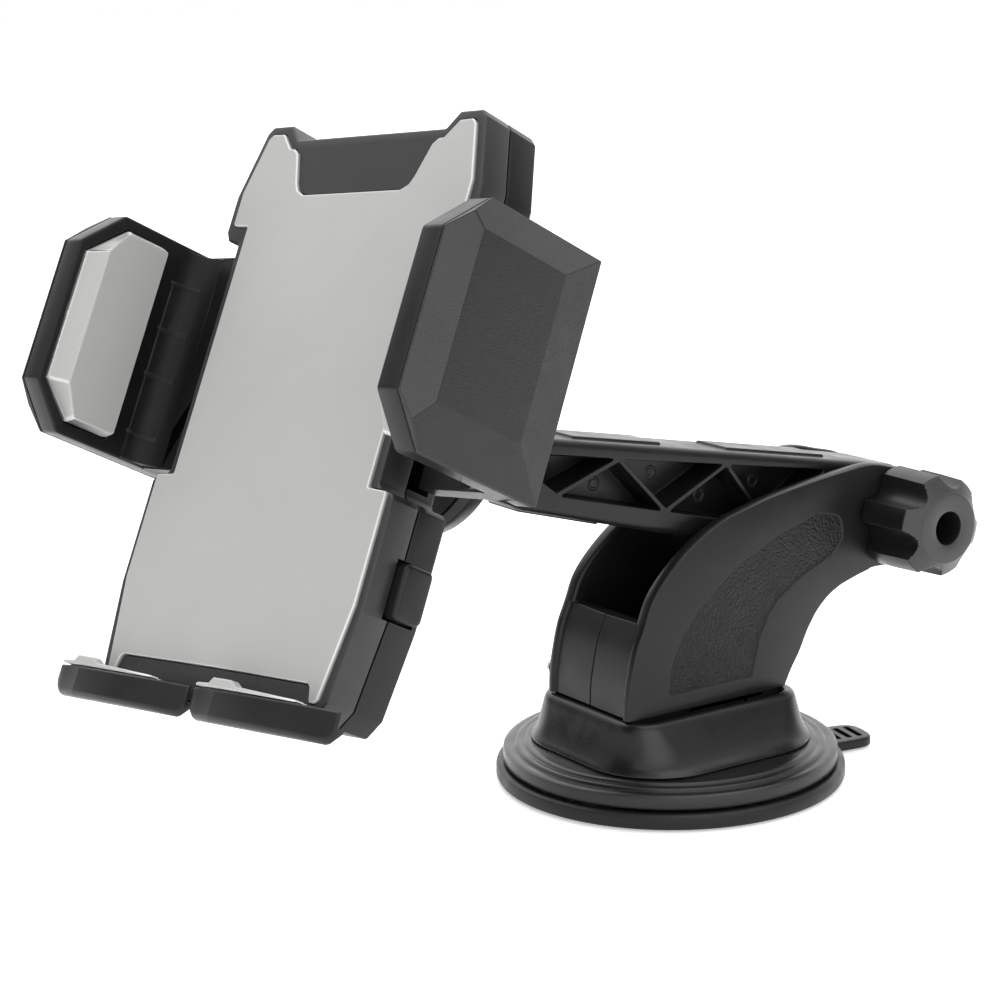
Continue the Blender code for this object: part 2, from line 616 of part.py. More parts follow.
for side, label in ((-1, "left"), (1, "right")):
    turn = CRADLE @ ALONG_X
    low, high = sorted((side * JAW_IN, side * 55.2))
    pocket = (widen(PAD_BASE, GAP), side * 51.3)
    walls = {"pockets_high": [pocket]} if side < 0 else {"pockets_low": [pocket]}
    jaw = place(f"{label}_jaw_frame", slab(HEX, low, high, **walls), turn, black)
    outline = [(-side * x, z) for x, z in carriage(side < 0)]
    join(jaw, slab(outline, *CARRIAGE), face_frame)
    bottom = [(y, z, side * 55.5) for y, z, _ in COVER_RIM]
    rim = [(y, z, side * x) for y, z, x in COVER_RIM]
    top = [(*FACET[i], side * 57.6) for i in (0, 0, 0, 1, 2, 3, 3, 3)]
    place(f"{label}_jaw_cover", loft([bottom, rim, top]), turn, cover_black, smooth=4)
    pad = [[(*p, side * x) for p in ring] for ring, x in
           ((PAD_BASE, 51.0), (PAD_BASE, 49.6), (PAD_FACE, 45.8))]
    place(f"{label}_jaw_pad", loft(pad), turn, grey_pad, smooth=20)


def gear_outline():
    """Spur gear outline in x and z about its own centre."""
    points = []
    for k in range(TEETH):
        mid = math.pi / 2 + 2 * math.pi * k / TEETH
        for r, half in ((3.45, -0.20), (PINION_R + 0.75, -0.058), (PINION_R + 0.75, 0.058),
                        (3.45, 0.20)):
            points.append((r * math.cos(mid + half), r * math.sin(mid + half)))
    return points


gear_frame = CRADLE @ Matrix.Translation((0, 0, PINION_Z)) @ ALONG_Y
gear = slab(gear_outline(), -36.0, -32.4, holes=[circle2((0, 0), 1.56, 16)])
place("pinion_gear", gear, gear_frame, nylon, pivot=(0, 0, -34.2))
place("pinion_post", turned([(1.2, -40.3), (1.5, -40.0), (1.5, -32.1), (1.2, -31.8)], 16),
      gear_frame, steel)


def spiral():
    """Flat spiral spring wound around the pinion's front face."""
    inner, outer, turns, steps = 2.3, 7.2, 2.5, 40
    edge = []
    for k in range(steps + 1):
        t = k / steps
        angle = 2 * math.pi * turns * t
        r = inner + (outer - inner) * t
        edge.append((angle, r))
    left = [((r - 0.22) * math.cos(a), (r - 0.22) * math.sin(a)) for a, r in edge]
    right = [((r + 0.22) * math.cos(a), (r + 0.22) * math.sin(a)) for a, r in edge]
    bm = bmesh.new()
    rows = []
    for (lx, lz), (rx, rz) in zip(left, right):
        rows.append([bm.verts.new(p) for p in ((lx, lz, -39.4), (rx, rz, -39.4),
                                               (rx, rz, -36.6), (lx, lz, -36.6))])
    for low, high in zip(rows, rows[1:]):
        for i in range(4):
            j = (i + 1) % 4
            bm.faces.new((low[i], low[j], high[j], high[i]))
    bm.faces.new(rows[0][::-1])
    bm.faces.new(rows[-1])
    return bm


place("jaw_spring", spiral(), gear_frame, steel)

# ---------------------------------------------------------------- release buttons
FLANGE = rounded_outline([(-40.2, -41.8), (-31.8, -41.8), (-31.8, -26.8), (-40.2, -26.8)], 0.8)
HEAD = rounded_outline([(-38.3, -39.5), (-31.3, -39.5), (-31.3, -29.1), (-38.3, -29.1)], 1.6)
CROWN = rounded_outline([(-37.6, -38.8), (-32.0, -38.8), (-32.0, -29.8), (-37.6, -29.8)], 1.4)


def coil(low, high, radius, wire, turns, count=10):
    """Coil spring about the third axis."""
    rings = []
    for k in range(turns * count + 1):
        angle = 2 * math.pi * k / count
        out = Vector((math.cos(angle), math.sin(angle), 0))
        middle = out * radius + Vector((0, 0, low + (high - low) * k / (turns * count)))
        rings.append([tuple(middle + out * wire * math.cos(a) + Vector((0, 0, wire * math.sin(a))))
                      for a in (0.3, 1.57, 2.83, 3.93, 5.5)])
    return loft(rings)


for side, label in ((-1, "left"), (1, "right")):
    button = [[(*p, side * x) for p in ring] for ring, x in
              ((FLANGE, 31.8), (FLANGE, 33.0), (HEAD, 33.0), (HEAD, 37.6), (CROWN, 38.2))]
    place(f"{label}_release_button", loft(button), CRADLE @ ALONG_X, black)
    middle = CRADLE @ Matrix.Translation((0, -35.0, -34.3)) @ ALONG_X
    place(f"{label}_button_spring", coil(side * 24.4, side * 31.1, 1.9, 0.28, 4), middle, steel)

# ---------------------------------------------------------------- feet
FOOT = [(-48.8, -58.4), (-48.8, -63.4), (-47.9, -64.3), (-46.4, -64.3), (-44.9, -63.0),
        (-44.9, -61.2), (-46.7, -61.2), (-46.7, -58.4)]
FOOT_PAD = [(-48.3, -58.1), (-46.4, -58.1), (-46.4, -60.9), (-45.2, -60.9), (-45.2, -57.3),
            (-48.3, -57.3)]
for side, label in ((-1, "left"), (1, "right")):
    low, high = sorted((side * 0.8, side * 41.5))
    foot = place(f"{label}_foot", slab(FOOT, low, high), CRADLE @ ALONG_X, black)
    bar = sorted((side * 6.0, side * 16.0))
    tongue = [(-45.2, -61.85), (-39.9, -61.85), (-39.9, -30.0), (-41.3, -30.0), (-41.3, -60.65),
              (-45.2, -60.65)]
    join(foot, slab(tongue, *bar), CRADLE @ ALONG_X)
    place(f"{label}_foot_pad", slab(FOOT_PAD, low + 1.2, low + 30.0), CRADLE @ ALONG_X, grey_pad)
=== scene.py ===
"""Looks for the dashboard phone mount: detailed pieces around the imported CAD, pale floor, soft light."""
import json
import math

import bmesh
import bpy
from mathutils import Matrix, Vector


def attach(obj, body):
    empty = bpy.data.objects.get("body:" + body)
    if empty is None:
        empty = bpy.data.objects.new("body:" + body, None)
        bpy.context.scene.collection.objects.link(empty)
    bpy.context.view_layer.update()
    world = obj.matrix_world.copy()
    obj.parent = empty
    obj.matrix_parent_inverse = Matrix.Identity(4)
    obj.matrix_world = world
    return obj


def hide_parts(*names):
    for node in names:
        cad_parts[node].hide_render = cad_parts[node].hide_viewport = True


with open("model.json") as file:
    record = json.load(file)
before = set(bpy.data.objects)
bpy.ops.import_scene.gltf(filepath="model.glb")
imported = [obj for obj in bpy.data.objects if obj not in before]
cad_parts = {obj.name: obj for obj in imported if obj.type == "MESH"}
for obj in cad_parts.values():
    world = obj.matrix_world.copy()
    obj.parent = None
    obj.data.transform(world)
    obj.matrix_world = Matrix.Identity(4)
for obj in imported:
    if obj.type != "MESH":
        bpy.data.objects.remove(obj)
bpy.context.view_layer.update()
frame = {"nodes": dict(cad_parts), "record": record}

MM = 0.001

# ---------------------------------------------------------------- frames shared with the CAD, in mm
PIVOT = (0.0, 53.0, 52.3)
BALL = (0.0, -54.58, 75.51)
ARM_PITCH = math.radians(12.36)
WORLD = Matrix.Identity(4)
ALONG_X = Matrix(((0, 0, 1, 0), (1, 0, 0, 0), (0, 1, 0, 0), (0, 0, 0, 1)))
ALONG_Y = Matrix(((1, 0, 0, 0), (0, 0, 1, 0), (0, 1, 0, 0), (0, 0, 0, 1)))
CRADLE = (Matrix.Translation(BALL) @ Matrix.Rotation(math.radians(7.63), 4, "Z")
          @ Matrix.Rotation(math.radians(-27.76), 4, "X")
          @ Matrix.Rotation(math.radians(-6.09), 4, "Y"))
ARM = Matrix.Translation(PIVOT) @ Matrix((
    (0, 0, 1, 0),
    (-math.cos(ARM_PITCH), math.sin(ARM_PITCH), 0, 0),
    (math.sin(ARM_PITCH), math.cos(ARM_PITCH), 0, 0),
    (0, 0, 0, 1)))
CRADLE_X = CRADLE @ ALONG_X
CRADLE_Y = CRADLE @ ALONG_Y


# ---------------------------------------------------------------- materials
class Shader:
    """A Principled material being put together from nodes."""

    def __init__(self, name):
        self.material = bpy.data.materials.new(name)
        self.material.use_nodes = True
        self.nodes = self.material.node_tree.nodes
        self.links = self.material.node_tree.links
        self.out = self.nodes["Principled BSDF"]
        self.place = self.nodes.new("ShaderNodeTexCoord").outputs["Object"]

    def add(self, kind, **values):
        """A node with its properties and input values set."""
        node = self.nodes.new("ShaderNode" + kind)
        for key, value in values.items():
            if hasattr(node, key):
                setattr(node, key, value)
            else:
                node.inputs[key.replace("_", " ")].default_value = value
        return node

    def noise(self, scale, detail=2.0, rough=0.5, stretch=None):
        """Noise value in object space; stretch squeezes it along the axes."""
        node = self.add("TexNoise", Scale=scale, Detail=detail, Roughness=rough)
        source = self.place
        if stretch:
            mapping = self.add("Mapping", Scale=stretch)
            self.links.new(source, mapping.inputs["Vector"])
            source = mapping.outputs["Vector"]
        self.links.new(source, node.inputs["Vector"])
        return node.outputs["Fac"]

    def span(self, value, low, high, to_low, to_high):
        """Value remapped from one range to another, clamped."""
        node = self.add("MapRange", From_Min=low, From_Max=high, To_Min=to_low, To_Max=to_high)
        self.links.new(value, node.inputs["Value"])
        return node.outputs["Result"]

    def maths(self, operation, first, second):
        """One arithmetic step."""
        node = self.add("Math", operation=operation)
        for slot, value in enumerate((first, second)):
            if isinstance(value, (int, float)):
                node.inputs[slot].default_value = value
            else:
                self.links.new(value, node.inputs[slot])
        return node.outputs["Value"]

    def blend(self, amount, first, second):
        """Mix of two colours, each a tuple or a node output."""
        node = self.add("Mix", data_type="RGBA")
        self.links.new(amount, node.inputs["Factor"])
        for socket, value in ((node.inputs[6], first), (node.inputs[7], second)):
            if isinstance(value, tuple):
                socket.default_value = (*value, 1.0)
            else:
                self.links.new(value, socket)
        return node.outputs[2]

    def edges(self, width):
        """1 along rounded edges, 0 on flat faces."""
        bevel = self.add("Bevel", samples=4, Radius=width * MM)
        flat = self.add("NewGeometry").outputs["Normal"]
        dot = self.add("VectorMath", operation="DOT_PRODUCT")
        self.links.new(bevel.outputs["Normal"], dot.inputs[0])
        self.links.new(flat, dot.inputs[1])
        return self.span(dot.outputs["Value"], 0.995, 0.80, 0.0, 1.0)

    def bump(self, height, depth, strength=1.0):
        """Height field as bump; depth in millimetres."""
        node = self.add("Bump", Strength=strength, Distance=depth * MM)
        self.links.new(height, node.inputs["Height"])
        self.links.new(node.outputs["Normal"], self.out.inputs["Normal"])

    def colour(self, value):
        """Base colour from a node output."""
        self.links.new(value, self.out.inputs["Base Color"])

    def roughness(self, value):
        """Roughness from a node output."""
        self.links.new(value, self.out.inputs["Roughness"])


def plastic(name, dark, light, rough, grain, depth, wear_and_highlight=0.5, rub_highlight_colour=(0.09, 0.088, 0.086),
            specular=0.5):
    """Moulded plastic: faint mottling, uneven gloss, spark grain and paler edges that are partly rubbed
    wear and partly a painted edge highlight.
    """
    s = Shader(name)
    broad = s.noise(38, 3)
    streak = s.noise(160, 4, 0.6)
    tone = s.blend(s.span(broad, 0.3, 0.7, 0.0, 1.0), dark, light)
    # paler edges: partly rubbed wear, partly a painted highlight where rounded edges catch the light
    rub_and_highlight = s.maths("MULTIPLY", s.edges(0.55), s.span(streak, 0.35, 0.7, 0.25 * wear_and_highlight, wear_and_highlight))
    s.colour(s.blend(rub_and_highlight, tone, rub_highlight_colour))
    s.roughness(s.maths("ADD", s.span(streak, 0.3, 0.7, rough - 0.06, rough + 0.06),
                        s.span(broad, 0.3, 0.7, -0.03, 0.03)))
    fine = s.noise(grain, 2, 0.6)
    s.bump(s.maths("ADD", fine, s.maths("MULTIPLY", broad, 0.4)), depth)
    s.out.inputs["Specular IOR Level"].default_value = specular
    return s.material


def leather_grain(name, dark, light, rough, specular=0.25):
    """Pebbled mould texture of the inset panel on the neck."""
    s = Shader(name)
    cells = s.add("TexVoronoi", feature="SMOOTH_F1", Scale=1500, Smoothness=0.5)
    warp = s.add("VectorMath", operation="ADD")
    shift = s.add("TexNoise", Scale=700, Detail=2)
    scaled = s.add("VectorMath", operation="SCALE", Scale=0.0004)
    s.links.new(s.place, shift.inputs["Vector"])
    s.links.new(shift.outputs["Color"], scaled.inputs[0])
    s.links.new(s.place, warp.inputs[0])
    s.links.new(scaled.outputs["Vector"], warp.inputs[1])
    s.links.new(warp.outputs["Vector"], cells.inputs["Vector"])
    height = s.span(cells.outputs["Distance"], 0.1, 0.75, 1.0, 0.0)
    s.colour(s.blend(height, dark, light))
    s.roughness(s.span(s.noise(240, 3), 0.3, 0.7, rough - 0.05, rough + 0.08))
    s.bump(s.maths("ADD", height, s.maths("MULTIPLY", s.noise(4200, 2), 0.25)), 0.14)
    s.out.inputs["Specular IOR Level"].default_value = specular
    return s.material


def rubber(name, base, shade, edge, rough, edge_width=0.7, specular=0.5):
    """Soft rubber: even tone, faint cloudiness, a painted highlight along its rounded edges and a very
    fine matte grain.
    """
    s = Shader(name)
    cloud = s.noise(30, 4, 0.55)
    tone = s.blend(s.span(cloud, 0.3, 0.7, 0.0, 1.0), base, shade)
    specks = s.span(s.noise(900, 3, 0.7), 0.62, 0.8, 0.0, 0.12)
    tone = s.blend(specks, tone, shade)
    # painted highlight: rounded edges are blended towards the paler edge colour as if they caught the
    # light
    s.colour(s.blend(s.edges(edge_width), tone, edge))
    s.roughness(s.span(s.noise(220, 4), 0.3, 0.7, rough - 0.07, rough + 0.07))
    s.bump(s.noise(5200, 2, 0.6), 0.012)
    s.out.inputs["Specular IOR Level"].default_value = specular
    return s.material


def metal(name, base, shade, rough, stretch):
    """Machined metal with fine tool marks and slightly dulled patches."""
    s = Shader(name)
    marks = s.noise(900, 3, 0.6, stretch)
    s.colour(s.blend(s.span(s.noise(120, 3), 0.3, 0.7, 0.0, 1.0), base, shade))
    s.roughness(s.span(marks, 0.3, 0.7, rough - 0.08, rough + 0.1))
    s.bump(marks, 0.01)
    s.out.inputs["Metallic"].default_value = 1.0
    return s.material


BLACK_DARK = (0.0058, 0.0058, 0.0063)
BLACK_LIGHT = (0.008, 0.0079, 0.0084)
black = plastic("black_plastic", BLACK_DARK, BLACK_LIGHT, 0.36, 3200, 0.010, specular=0.28)
satin = plastic("satin_plastic", BLACK_DARK, BLACK_LIGHT, 0.3, 2600, 0.004, wear_and_highlight=0.15, specular=0.42)
cover = plastic("cover_plastic", (0.0115, 0.0115, 0.0125), (0.015, 0.015, 0.016), 0.44, 3000, 0.09,
                wear_and_highlight=0.35, specular=0.33)
# lighter plastic for the jaw covers' front and upper facets: painted light where the light falls on them
painted_light_facet = plastic("cover_facet", (0.026, 0.026, 0.027), (0.034, 0.034, 0.0355), 0.5, 2600, 0.13,
                wear_and_highlight=0.35, specular=0.5)
# lighter plastic for the knob's end cone: painted light where the front light falls on it
knob_face_painted_light = plastic("knob_face_painted_light", (0.019, 0.019, 0.0195), (0.025, 0.025, 0.0255), 0.4, 3200, 0.015,
                     specular=0.5)
shell_black = plastic("shell_black", (0.0125, 0.0125, 0.013), (0.0165, 0.0163, 0.0165), 0.42, 3200,
                      0.02, wear_and_highlight=0.35)
# darker plastic for the jaws' inner faces: painted shade where the jaw interior lies in shadow
painted_shade_black = plastic("shadow_black", (0.0035, 0.0035, 0.004), (0.005, 0.005, 0.0055), 0.5, 3200, 0.010,
                     specular=0.25)
panel_grain = leather_grain("panel_grain", (0.0045, 0.0045, 0.005), (0.0095, 0.0095, 0.01), 0.44)
# the third colour of each rubber is its painted edge highlight
soft_black = rubber("soft_black", (0.0045, 0.0045, 0.005), (0.0065, 0.0065, 0.007),
                    (0.018, 0.017, 0.017), 0.4, specular=0.28)
grey = rubber("grey_pad", (0.325, 0.325, 0.319), (0.342, 0.342, 0.336), (0.8, 0.8, 0.79), 0.5, 0.55)
# paler grey for the face pad's rounded rim: a painted highlight
grey_rim_painted_highlight = rubber("grey_rim_painted_highlight", (0.53, 0.53, 0.52), (0.6, 0.6, 0.59), (0.72, 0.72, 0.71), 0.45)
steel = metal("steel", (0.62, 0.62, 0.63), (0.5, 0.5, 0.51), 0.3, (1.0, 1.0, 0.12))
brass = metal("brass", (0.72, 0.55, 0.28), (0.6, 0.44, 0.2), 0.34, (0.12, 1.0, 1.0))
nylon = rubber("nylon", (0.74, 0.74, 0.72), (0.68, 0.68, 0.65), (0.8, 0.8, 0.78), 0.45)
NODE_MATERIALS = {"black_plastic": black, "cover_plastic": cover, "soft_black": soft_black,
                  "grey_pad": grey, "steel": steel, "brass": brass, "nylon": nylon}


# ---------------------------------------------------------------- shape helpers
def circle(radius, height, count=48, centre=(0.0, 0.0), phase=0.0):
    """Ring of points in a plane of constant third coordinate."""
    step = 2 * math.pi / count
    return [(centre[0] + radius * math.cos(phase + i * step),
             centre[1] + radius * math.sin(phase + i * step), height) for i in range(count)]


def mirror_x(points):
    """Right-hand outline followed by its mirror image, as one closed outline."""
    return list(points) + [(-x, y) for x, y in reversed(points) if abs(x) > 1e-6]


def rounded_outline(points, radius, steps=3):
    """Outline with its corners rounded; radius is one number or one per corner."""
    out = []
    count = len(points)
    for i, point in enumerate(points):
        r = radius[i] if isinstance(radius, (list, tuple)) else radius
        here = Vector(point)
        back = Vector(points[i - 1]) - here
        ahead = Vector(points[(i + 1) % count]) - here
        if r <= 0:
            out.append(tuple(here))
            continue
        turn = back.angle(ahead)
        if turn > 3.1:
            out.append(tuple(here))
            continue
        reach = min(r / math.tan(turn / 2), back.length * 0.45, ahead.length * 0.45)
        start = here + back.normalized() * reach
        end = here + ahead.normalized() * reach
        for k in range(steps + 1):
            t = k / steps
            out.append(tuple(start * (1 - t) ** 2 + here * 2 * t * (1 - t) + end * t ** 2))
    return out


def offset(points, distance):
    """Outline moved inwards by a distance, with mitred corners."""
    count = len(points)
    area = sum(points[i - 1][0] * points[i][1] - points[i][0] * points[i - 1][1] for i in range(count))
    turn = 1 if area > 0 else -1
    moved = []
    for i in range(count):
        here = Vector(points[i])
        first = (here - Vector(points[i - 1])).normalized()
        second = (Vector(points[(i + 1) % count]) - here).normalized()
        normal = Vector((-first.y, first.x)) * turn
        middle = (normal + Vector((-second.y, second.x)) * turn).normalized()
        moved.append(tuple(here + middle * distance / max(0.4, middle.dot(normal))))
    return moved


def loft(rings, close=False):
    """Closed solid through rings of equal length."""
    bm = bmesh.new()
    rows = [[bm.verts.new(p) for p in ring] for ring in rings]
    count = len(rows[0])
    pairs = list(zip(rows, rows[1:]))
    if close:
        pairs.append((rows[-1], rows[0]))
    for low, high in pairs:
        for i in range(count):
            j = (i + 1) % count
            bm.faces.new((low[i], low[j], high[j], high[i]))
    if not close:
        bm.faces.new(rows[0][::-1])
        bm.faces.new(rows[-1])
    return bm


def turned(profile, count=64, close=False, phase=0.0):
    """Solid of revolution about the third axis from (radius, height) pairs."""
    return loft([circle(r, h, count, phase=phase) for r, h in profile], close)


def plate(outline, low, high, round_low=0.0, round_high=0.0, steps=3):
    """Plate between two heights with quarter-round edges."""
    levels = []
    for k in range(steps + 1 if round_low else 1):
        angle = math.pi / 2 * k / steps
        levels.append((round_low * (1 - math.sin(angle)), low + round_low * (1 - math.cos(angle))))
    for k in range(steps + 1 if round_high else 1):
        angle = math.pi / 2 * (1 - k / steps)
        levels.append((round_high * (1 - math.sin(angle)), high - round_high * (1 - math.cos(angle))))
    rings = []
    for inset, height in levels:
        ring = offset(outline, inset) if inset > 1e-6 else outline
        rings.append([(x, y, height) for x, y in ring])
    return loft(rings)


def rounded_rect(half_x, half_y, radius, height, steps=8, shift=(0.0, 0.0)):
    """Rounded rectangle ring in the XY plane."""
    ring = []
    for corner in range(4):
        cx = (1, -1, -1, 1)[corner] * (half_x - radius) + shift[0]
        cy = (1, 1, -1, -1)[corner] * (half_y - radius) + shift[1]
        for k in range(steps + 1):
            angle = math.radians(90 * (corner + k / steps))
            ring.append((cx + radius * math.cos(angle), cy + radius * math.sin(angle), height))
    return ring


def box(low, high):
    """Plain cutter box."""
    (x0, y0, z0), (x1, y1, z1) = low, high
    return loft([[(x0, y0, z), (x1, y0, z), (x1, y1, z), (x0, y1, z)] for z in (z0, z1)])


def smooth_at(points, runs, u):
    """Point on a curve through the points; runs gives the ends of each unbroken stretch."""
    i = min(int(u), len(points) - 2)
    t = u - i
    p1 = Vector(points[i])
    p2 = Vector(points[i + 1])
    found = [(a, b) for a, b in runs if a <= i and i + 1 <= b]
    if not found:
        return p1.lerp(p2, t)
    first, last = found[0]
    p0 = Vector(points[i - 1]) if i > first else p1 * 2 - p2
    p3 = Vector(points[i + 2]) if i + 2 <= last else p2 * 2 - p1
    return 0.5 * (2 * p1 + (p2 - p0) * t + (2 * p0 - 5 * p1 + 4 * p2 - p3) * t ** 2
                  + (3 * p1 - p0 - 3 * p2 + p3) * t ** 3)


def level_at(values, u):
    """Straight interpolation in a list."""
    i = min(int(u), len(values) - 2)
    return values[i] + (values[i + 1] - values[i]) * (u - i)


# ---------------------------------------------------------------- making pieces
def to_object(name, bm, place, materials, smooth=35.0):
    """A millimetre bmesh as a world object in metres."""
    bm.transform(Matrix.Scale(MM, 4) @ place)
    bmesh.ops.remove_doubles(bm, verts=bm.verts, dist=1e-6)
    bmesh.ops.recalc_face_normals(bm, faces=bm.faces)
    for face in bm.faces:
        face.smooth = True
    mesh = bpy.data.meshes.new(name)
    bm.to_mesh(mesh)
    bm.free()
    for entry in materials:
        mesh.materials.append(entry)
    mesh.set_sharp_from_angle(angle=math.radians(smooth))
    obj = bpy.data.objects.new(name, mesh)
    bpy.context.scene.collection.objects.link(obj)
    return obj


def make(name, bm, place, body, nodes, slot, *materials, smooth=35.0):
    """A new visible piece that rides on a body and stands for CAD nodes."""
    obj = to_object(name, bm, place, materials, smooth)
    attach(obj, body)
    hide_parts(*nodes.split())
    return obj


def shape(obj, bm, place, mode="DIFFERENCE"):
    """Cut or fuse a millimetre shape with an exact Boolean and keep the result."""
    tool = to_object("tool", bm, place, list(obj.data.materials))
    modifier = obj.modifiers.new("boolean", "BOOLEAN")
    modifier.operation = mode
    modifier.solver = "EXACT"
    modifier.object = tool
    bpy.context.view_layer.update()
    graph = bpy.context.evaluated_depsgraph_get()
    made = bpy.data.meshes.new_from_object(obj.evaluated_get(graph))
    obj.modifiers.clear()
    old = obj.data
    obj.data = made
    made.name = obj.name
    bpy.data.meshes.remove(old)
    bpy.data.objects.remove(tool)
    made.set_sharp_from_angle(angle=math.radians(35))
    return obj


def soften(obj, width=0.3, segments=2, limit=32.0):
    """Rounded edges on everything sharper than the limit."""
    modifier = obj.modifiers.new("edge_round", "BEVEL")
    modifier.width = width * MM
    modifier.segments = segments
    modifier.limit_method = "ANGLE"
    modifier.angle_limit = math.radians(limit)
    modifier.use_clamp_overlap = False
    modifier.harden_normals = True
    modifier.miter_outer = "MITER_ARC"
    return obj


def round_creases(obj, width):
    """Rounded creases and rim written into the mesh, with the overlap clamp that facets need."""
    bm = bmesh.new()
    bm.from_mesh(obj.data)
    bmesh.ops.bevel(bm, geom=[e for e in bm.edges if e.calc_face_angle(0) > math.radians(5)],
                    offset=width * MM, segments=2, profile=0.6, affect="EDGES", clamp_overlap=True)
    bm.to_mesh(obj.data)
    bm.free()
    for face in obj.data.polygons:
        face.use_smooth = True
    obj.data.set_sharp_from_angle(angle=math.radians(6))


def paint(obj, index, test):
    """Give faces that pass a test (centre in mm, normal) another material of the piece."""
    for face in obj.data.polygons:
        if test(Vector(face.center) / MM, face.normal):
            face.material_index = index


# ---------------------------------------------------------------- suction base
PAD_R = 38.0
TAB_MIDDLE = math.radians(78.5)
TAB = Matrix.Rotation(TAB_MIDDLE, 4, "Z")
pad_profile = [(0.01, 0.55), (20, 0.42), (30, 0.2), (35.6, 0.0), (37.0, 0.05), (37.7, 0.35),
               (PAD_R, 0.95), (PAD_R, 2.7), (37.85, 3.2), (37.4, 3.52), (36.8, 3.6), (35.6, 3.6),
               (35.0, 3.35), (12.6, 3.3), (12.1, 3.1), (12.0, 1.5), (11.6, 1.2), (0.01, 1.2)]
pad = make("pad_disc", turned(pad_profile, 160), WORLD, "base", "suction_pad", "soft_black", soft_black)
tab_outline = rounded_outline([(33.0, -6.2), (38.6, -6.0), (49.0, -5.4), (49.0, 5.4), (38.6, 6.0),
                               (33.0, 6.2)], [0, 3, 4.6, 4.6, 3, 0], 8)
shape(pad, plate(tab_outline, 0.3, 2.5, 0.35, 0.6), TAB, "UNION")
for reach in (40.6, 43.3, 46.0):
    slot = rounded_outline([(reach - 0.65, -3.5), (reach + 0.65, -3.5), (reach + 0.65, 3.5),
                            (reach - 0.65, 3.5)], 0.6, 3)
    shape(pad, plate(slot, 0.9, 4.0), TAB)
soften(pad, 0.15, 2, 40)

cup_profile = [(32.6, 3.95), (36.0, 3.95), (36.3, 4.1), (36.42, 4.45), (36.42, 6.35), (36.3, 6.8),
               (35.9, 7.08), (35.2, 7.18), (34.5, 7.1), (34.1, 7.12), (33.9, 7.3), (33.7, 7.62),
               (33.3, 7.8), (32.7, 7.78), (32.3, 7.66), (31.9, 7.72), (31.7, 7.95), (31.4, 8.2),
               (31.0, 8.3), (30.2, 8.26), (29.6, 8.3), (28.0, 8.4), (11.2, 8.4), (11.0, 8.2),
               (11.0, 6.6), (11.2, 6.4), (31.2, 6.4), (31.9, 6.0)]
cup = make("cup_ring", turned(cup_profile, 160, close=True), WORLD, "base", "base_cup",
           "black_plastic", satin)

collar_levels = [(25.2, 27.1, 17.0, 8.4), (25.5, 27.3, 17.0, 8.7), (25.3, 27.2, 16.8, 9.2),
                 (24.2, 26.7, 15.4, 9.7), (23.3, 26.2, 14.0, 10.4), (22.4, 25.6, 12.6, 11.4),
                 (21.6, 25.0, 11.2, 12.6), (20.8, 24.5, 9.9, 13.9), (20.1, 24.05, 8.8, 15.2),
                 (19.5, 23.65, 7.8, 16.4), (19.15, 23.4, 7.3, 17.2), (18.85, 23.1, 6.9, 17.9),
                 (18.4, 22.65, 6.4, 18.45), (17.8, 22.05, 5.8, 18.75), (17.2, 21.5, 5.2, 18.8),
                 (16.6, 21.0, 4.7, 18.6), (16.3, 20.8, 4.4, 18.2), (16.2, 20.7, 4.3, 17.6),
                 (16.0, 20.4, 4.1, 17.1), (11.6, 15.6, 1.6, 17.0), (11.6, 15.6, 1.6, 16.4),
                 (15.2, 18.4, 3.0, 16.4), (17.4, 19.4, 8.0, 8.4)]
collar = make("neck_collar", loft([rounded_rect(a, b, r, z, 14) for a, b, r, z in collar_levels], True),
              WORLD, "base", "base_collar", "black_plastic", satin)
shape(collar, box((-30, -5.4, 8.0), (-12, 5.4, 16.35)), WORLD)
lever_place = Matrix.Translation((-20.5, 0.0, 11.6)) @ ALONG_Y
shape(collar, turned([(1.3, -8.3), (1.3, 8.3)], 32), lever_place)
for side in (-1, 1):
    shape(collar, turned([(1.3, 8.0), (1.3, 14.5)], 24), Matrix.Translation((0, side * 22.7, 0)))
    shape(cup, turned([(1.3, 5.0), (1.3, 9.0)], 24), Matrix.Translation((0, side * 22.7, 0)))

lever = [(2.9 * math.cos(math.radians(a)), 2.9 * math.sin(math.radians(a))) for a in range(-90, 111, 10)]
lever += [(1.8 * math.cos(math.radians(a)), 1.8 * math.sin(math.radians(a))) for a in (135, 165)]
lever += [(-3.4, -0.9), (-15.5, -0.9), (-17.6, -0.2), (-18.4, -1.2), (-17.0, -3.0), (-2.0, -2.85)]
lever_piece = make("lever_arm", plate(lever, -5.1, 5.1), lever_place, "lever", "lock_lever",
                   "black_plastic", black)
shape(lever_piece, turned([(1.28, -6), (1.28, 6)], 32), lever_place)
for k in range(4):
    spot = -15.4 + 1.5 * k
    shape(lever_piece, box((spot, -0.98, -4.0), (spot + 0.7, -0.3, 4.0)), lever_place, "UNION")
soften(lever_piece, 0.3)

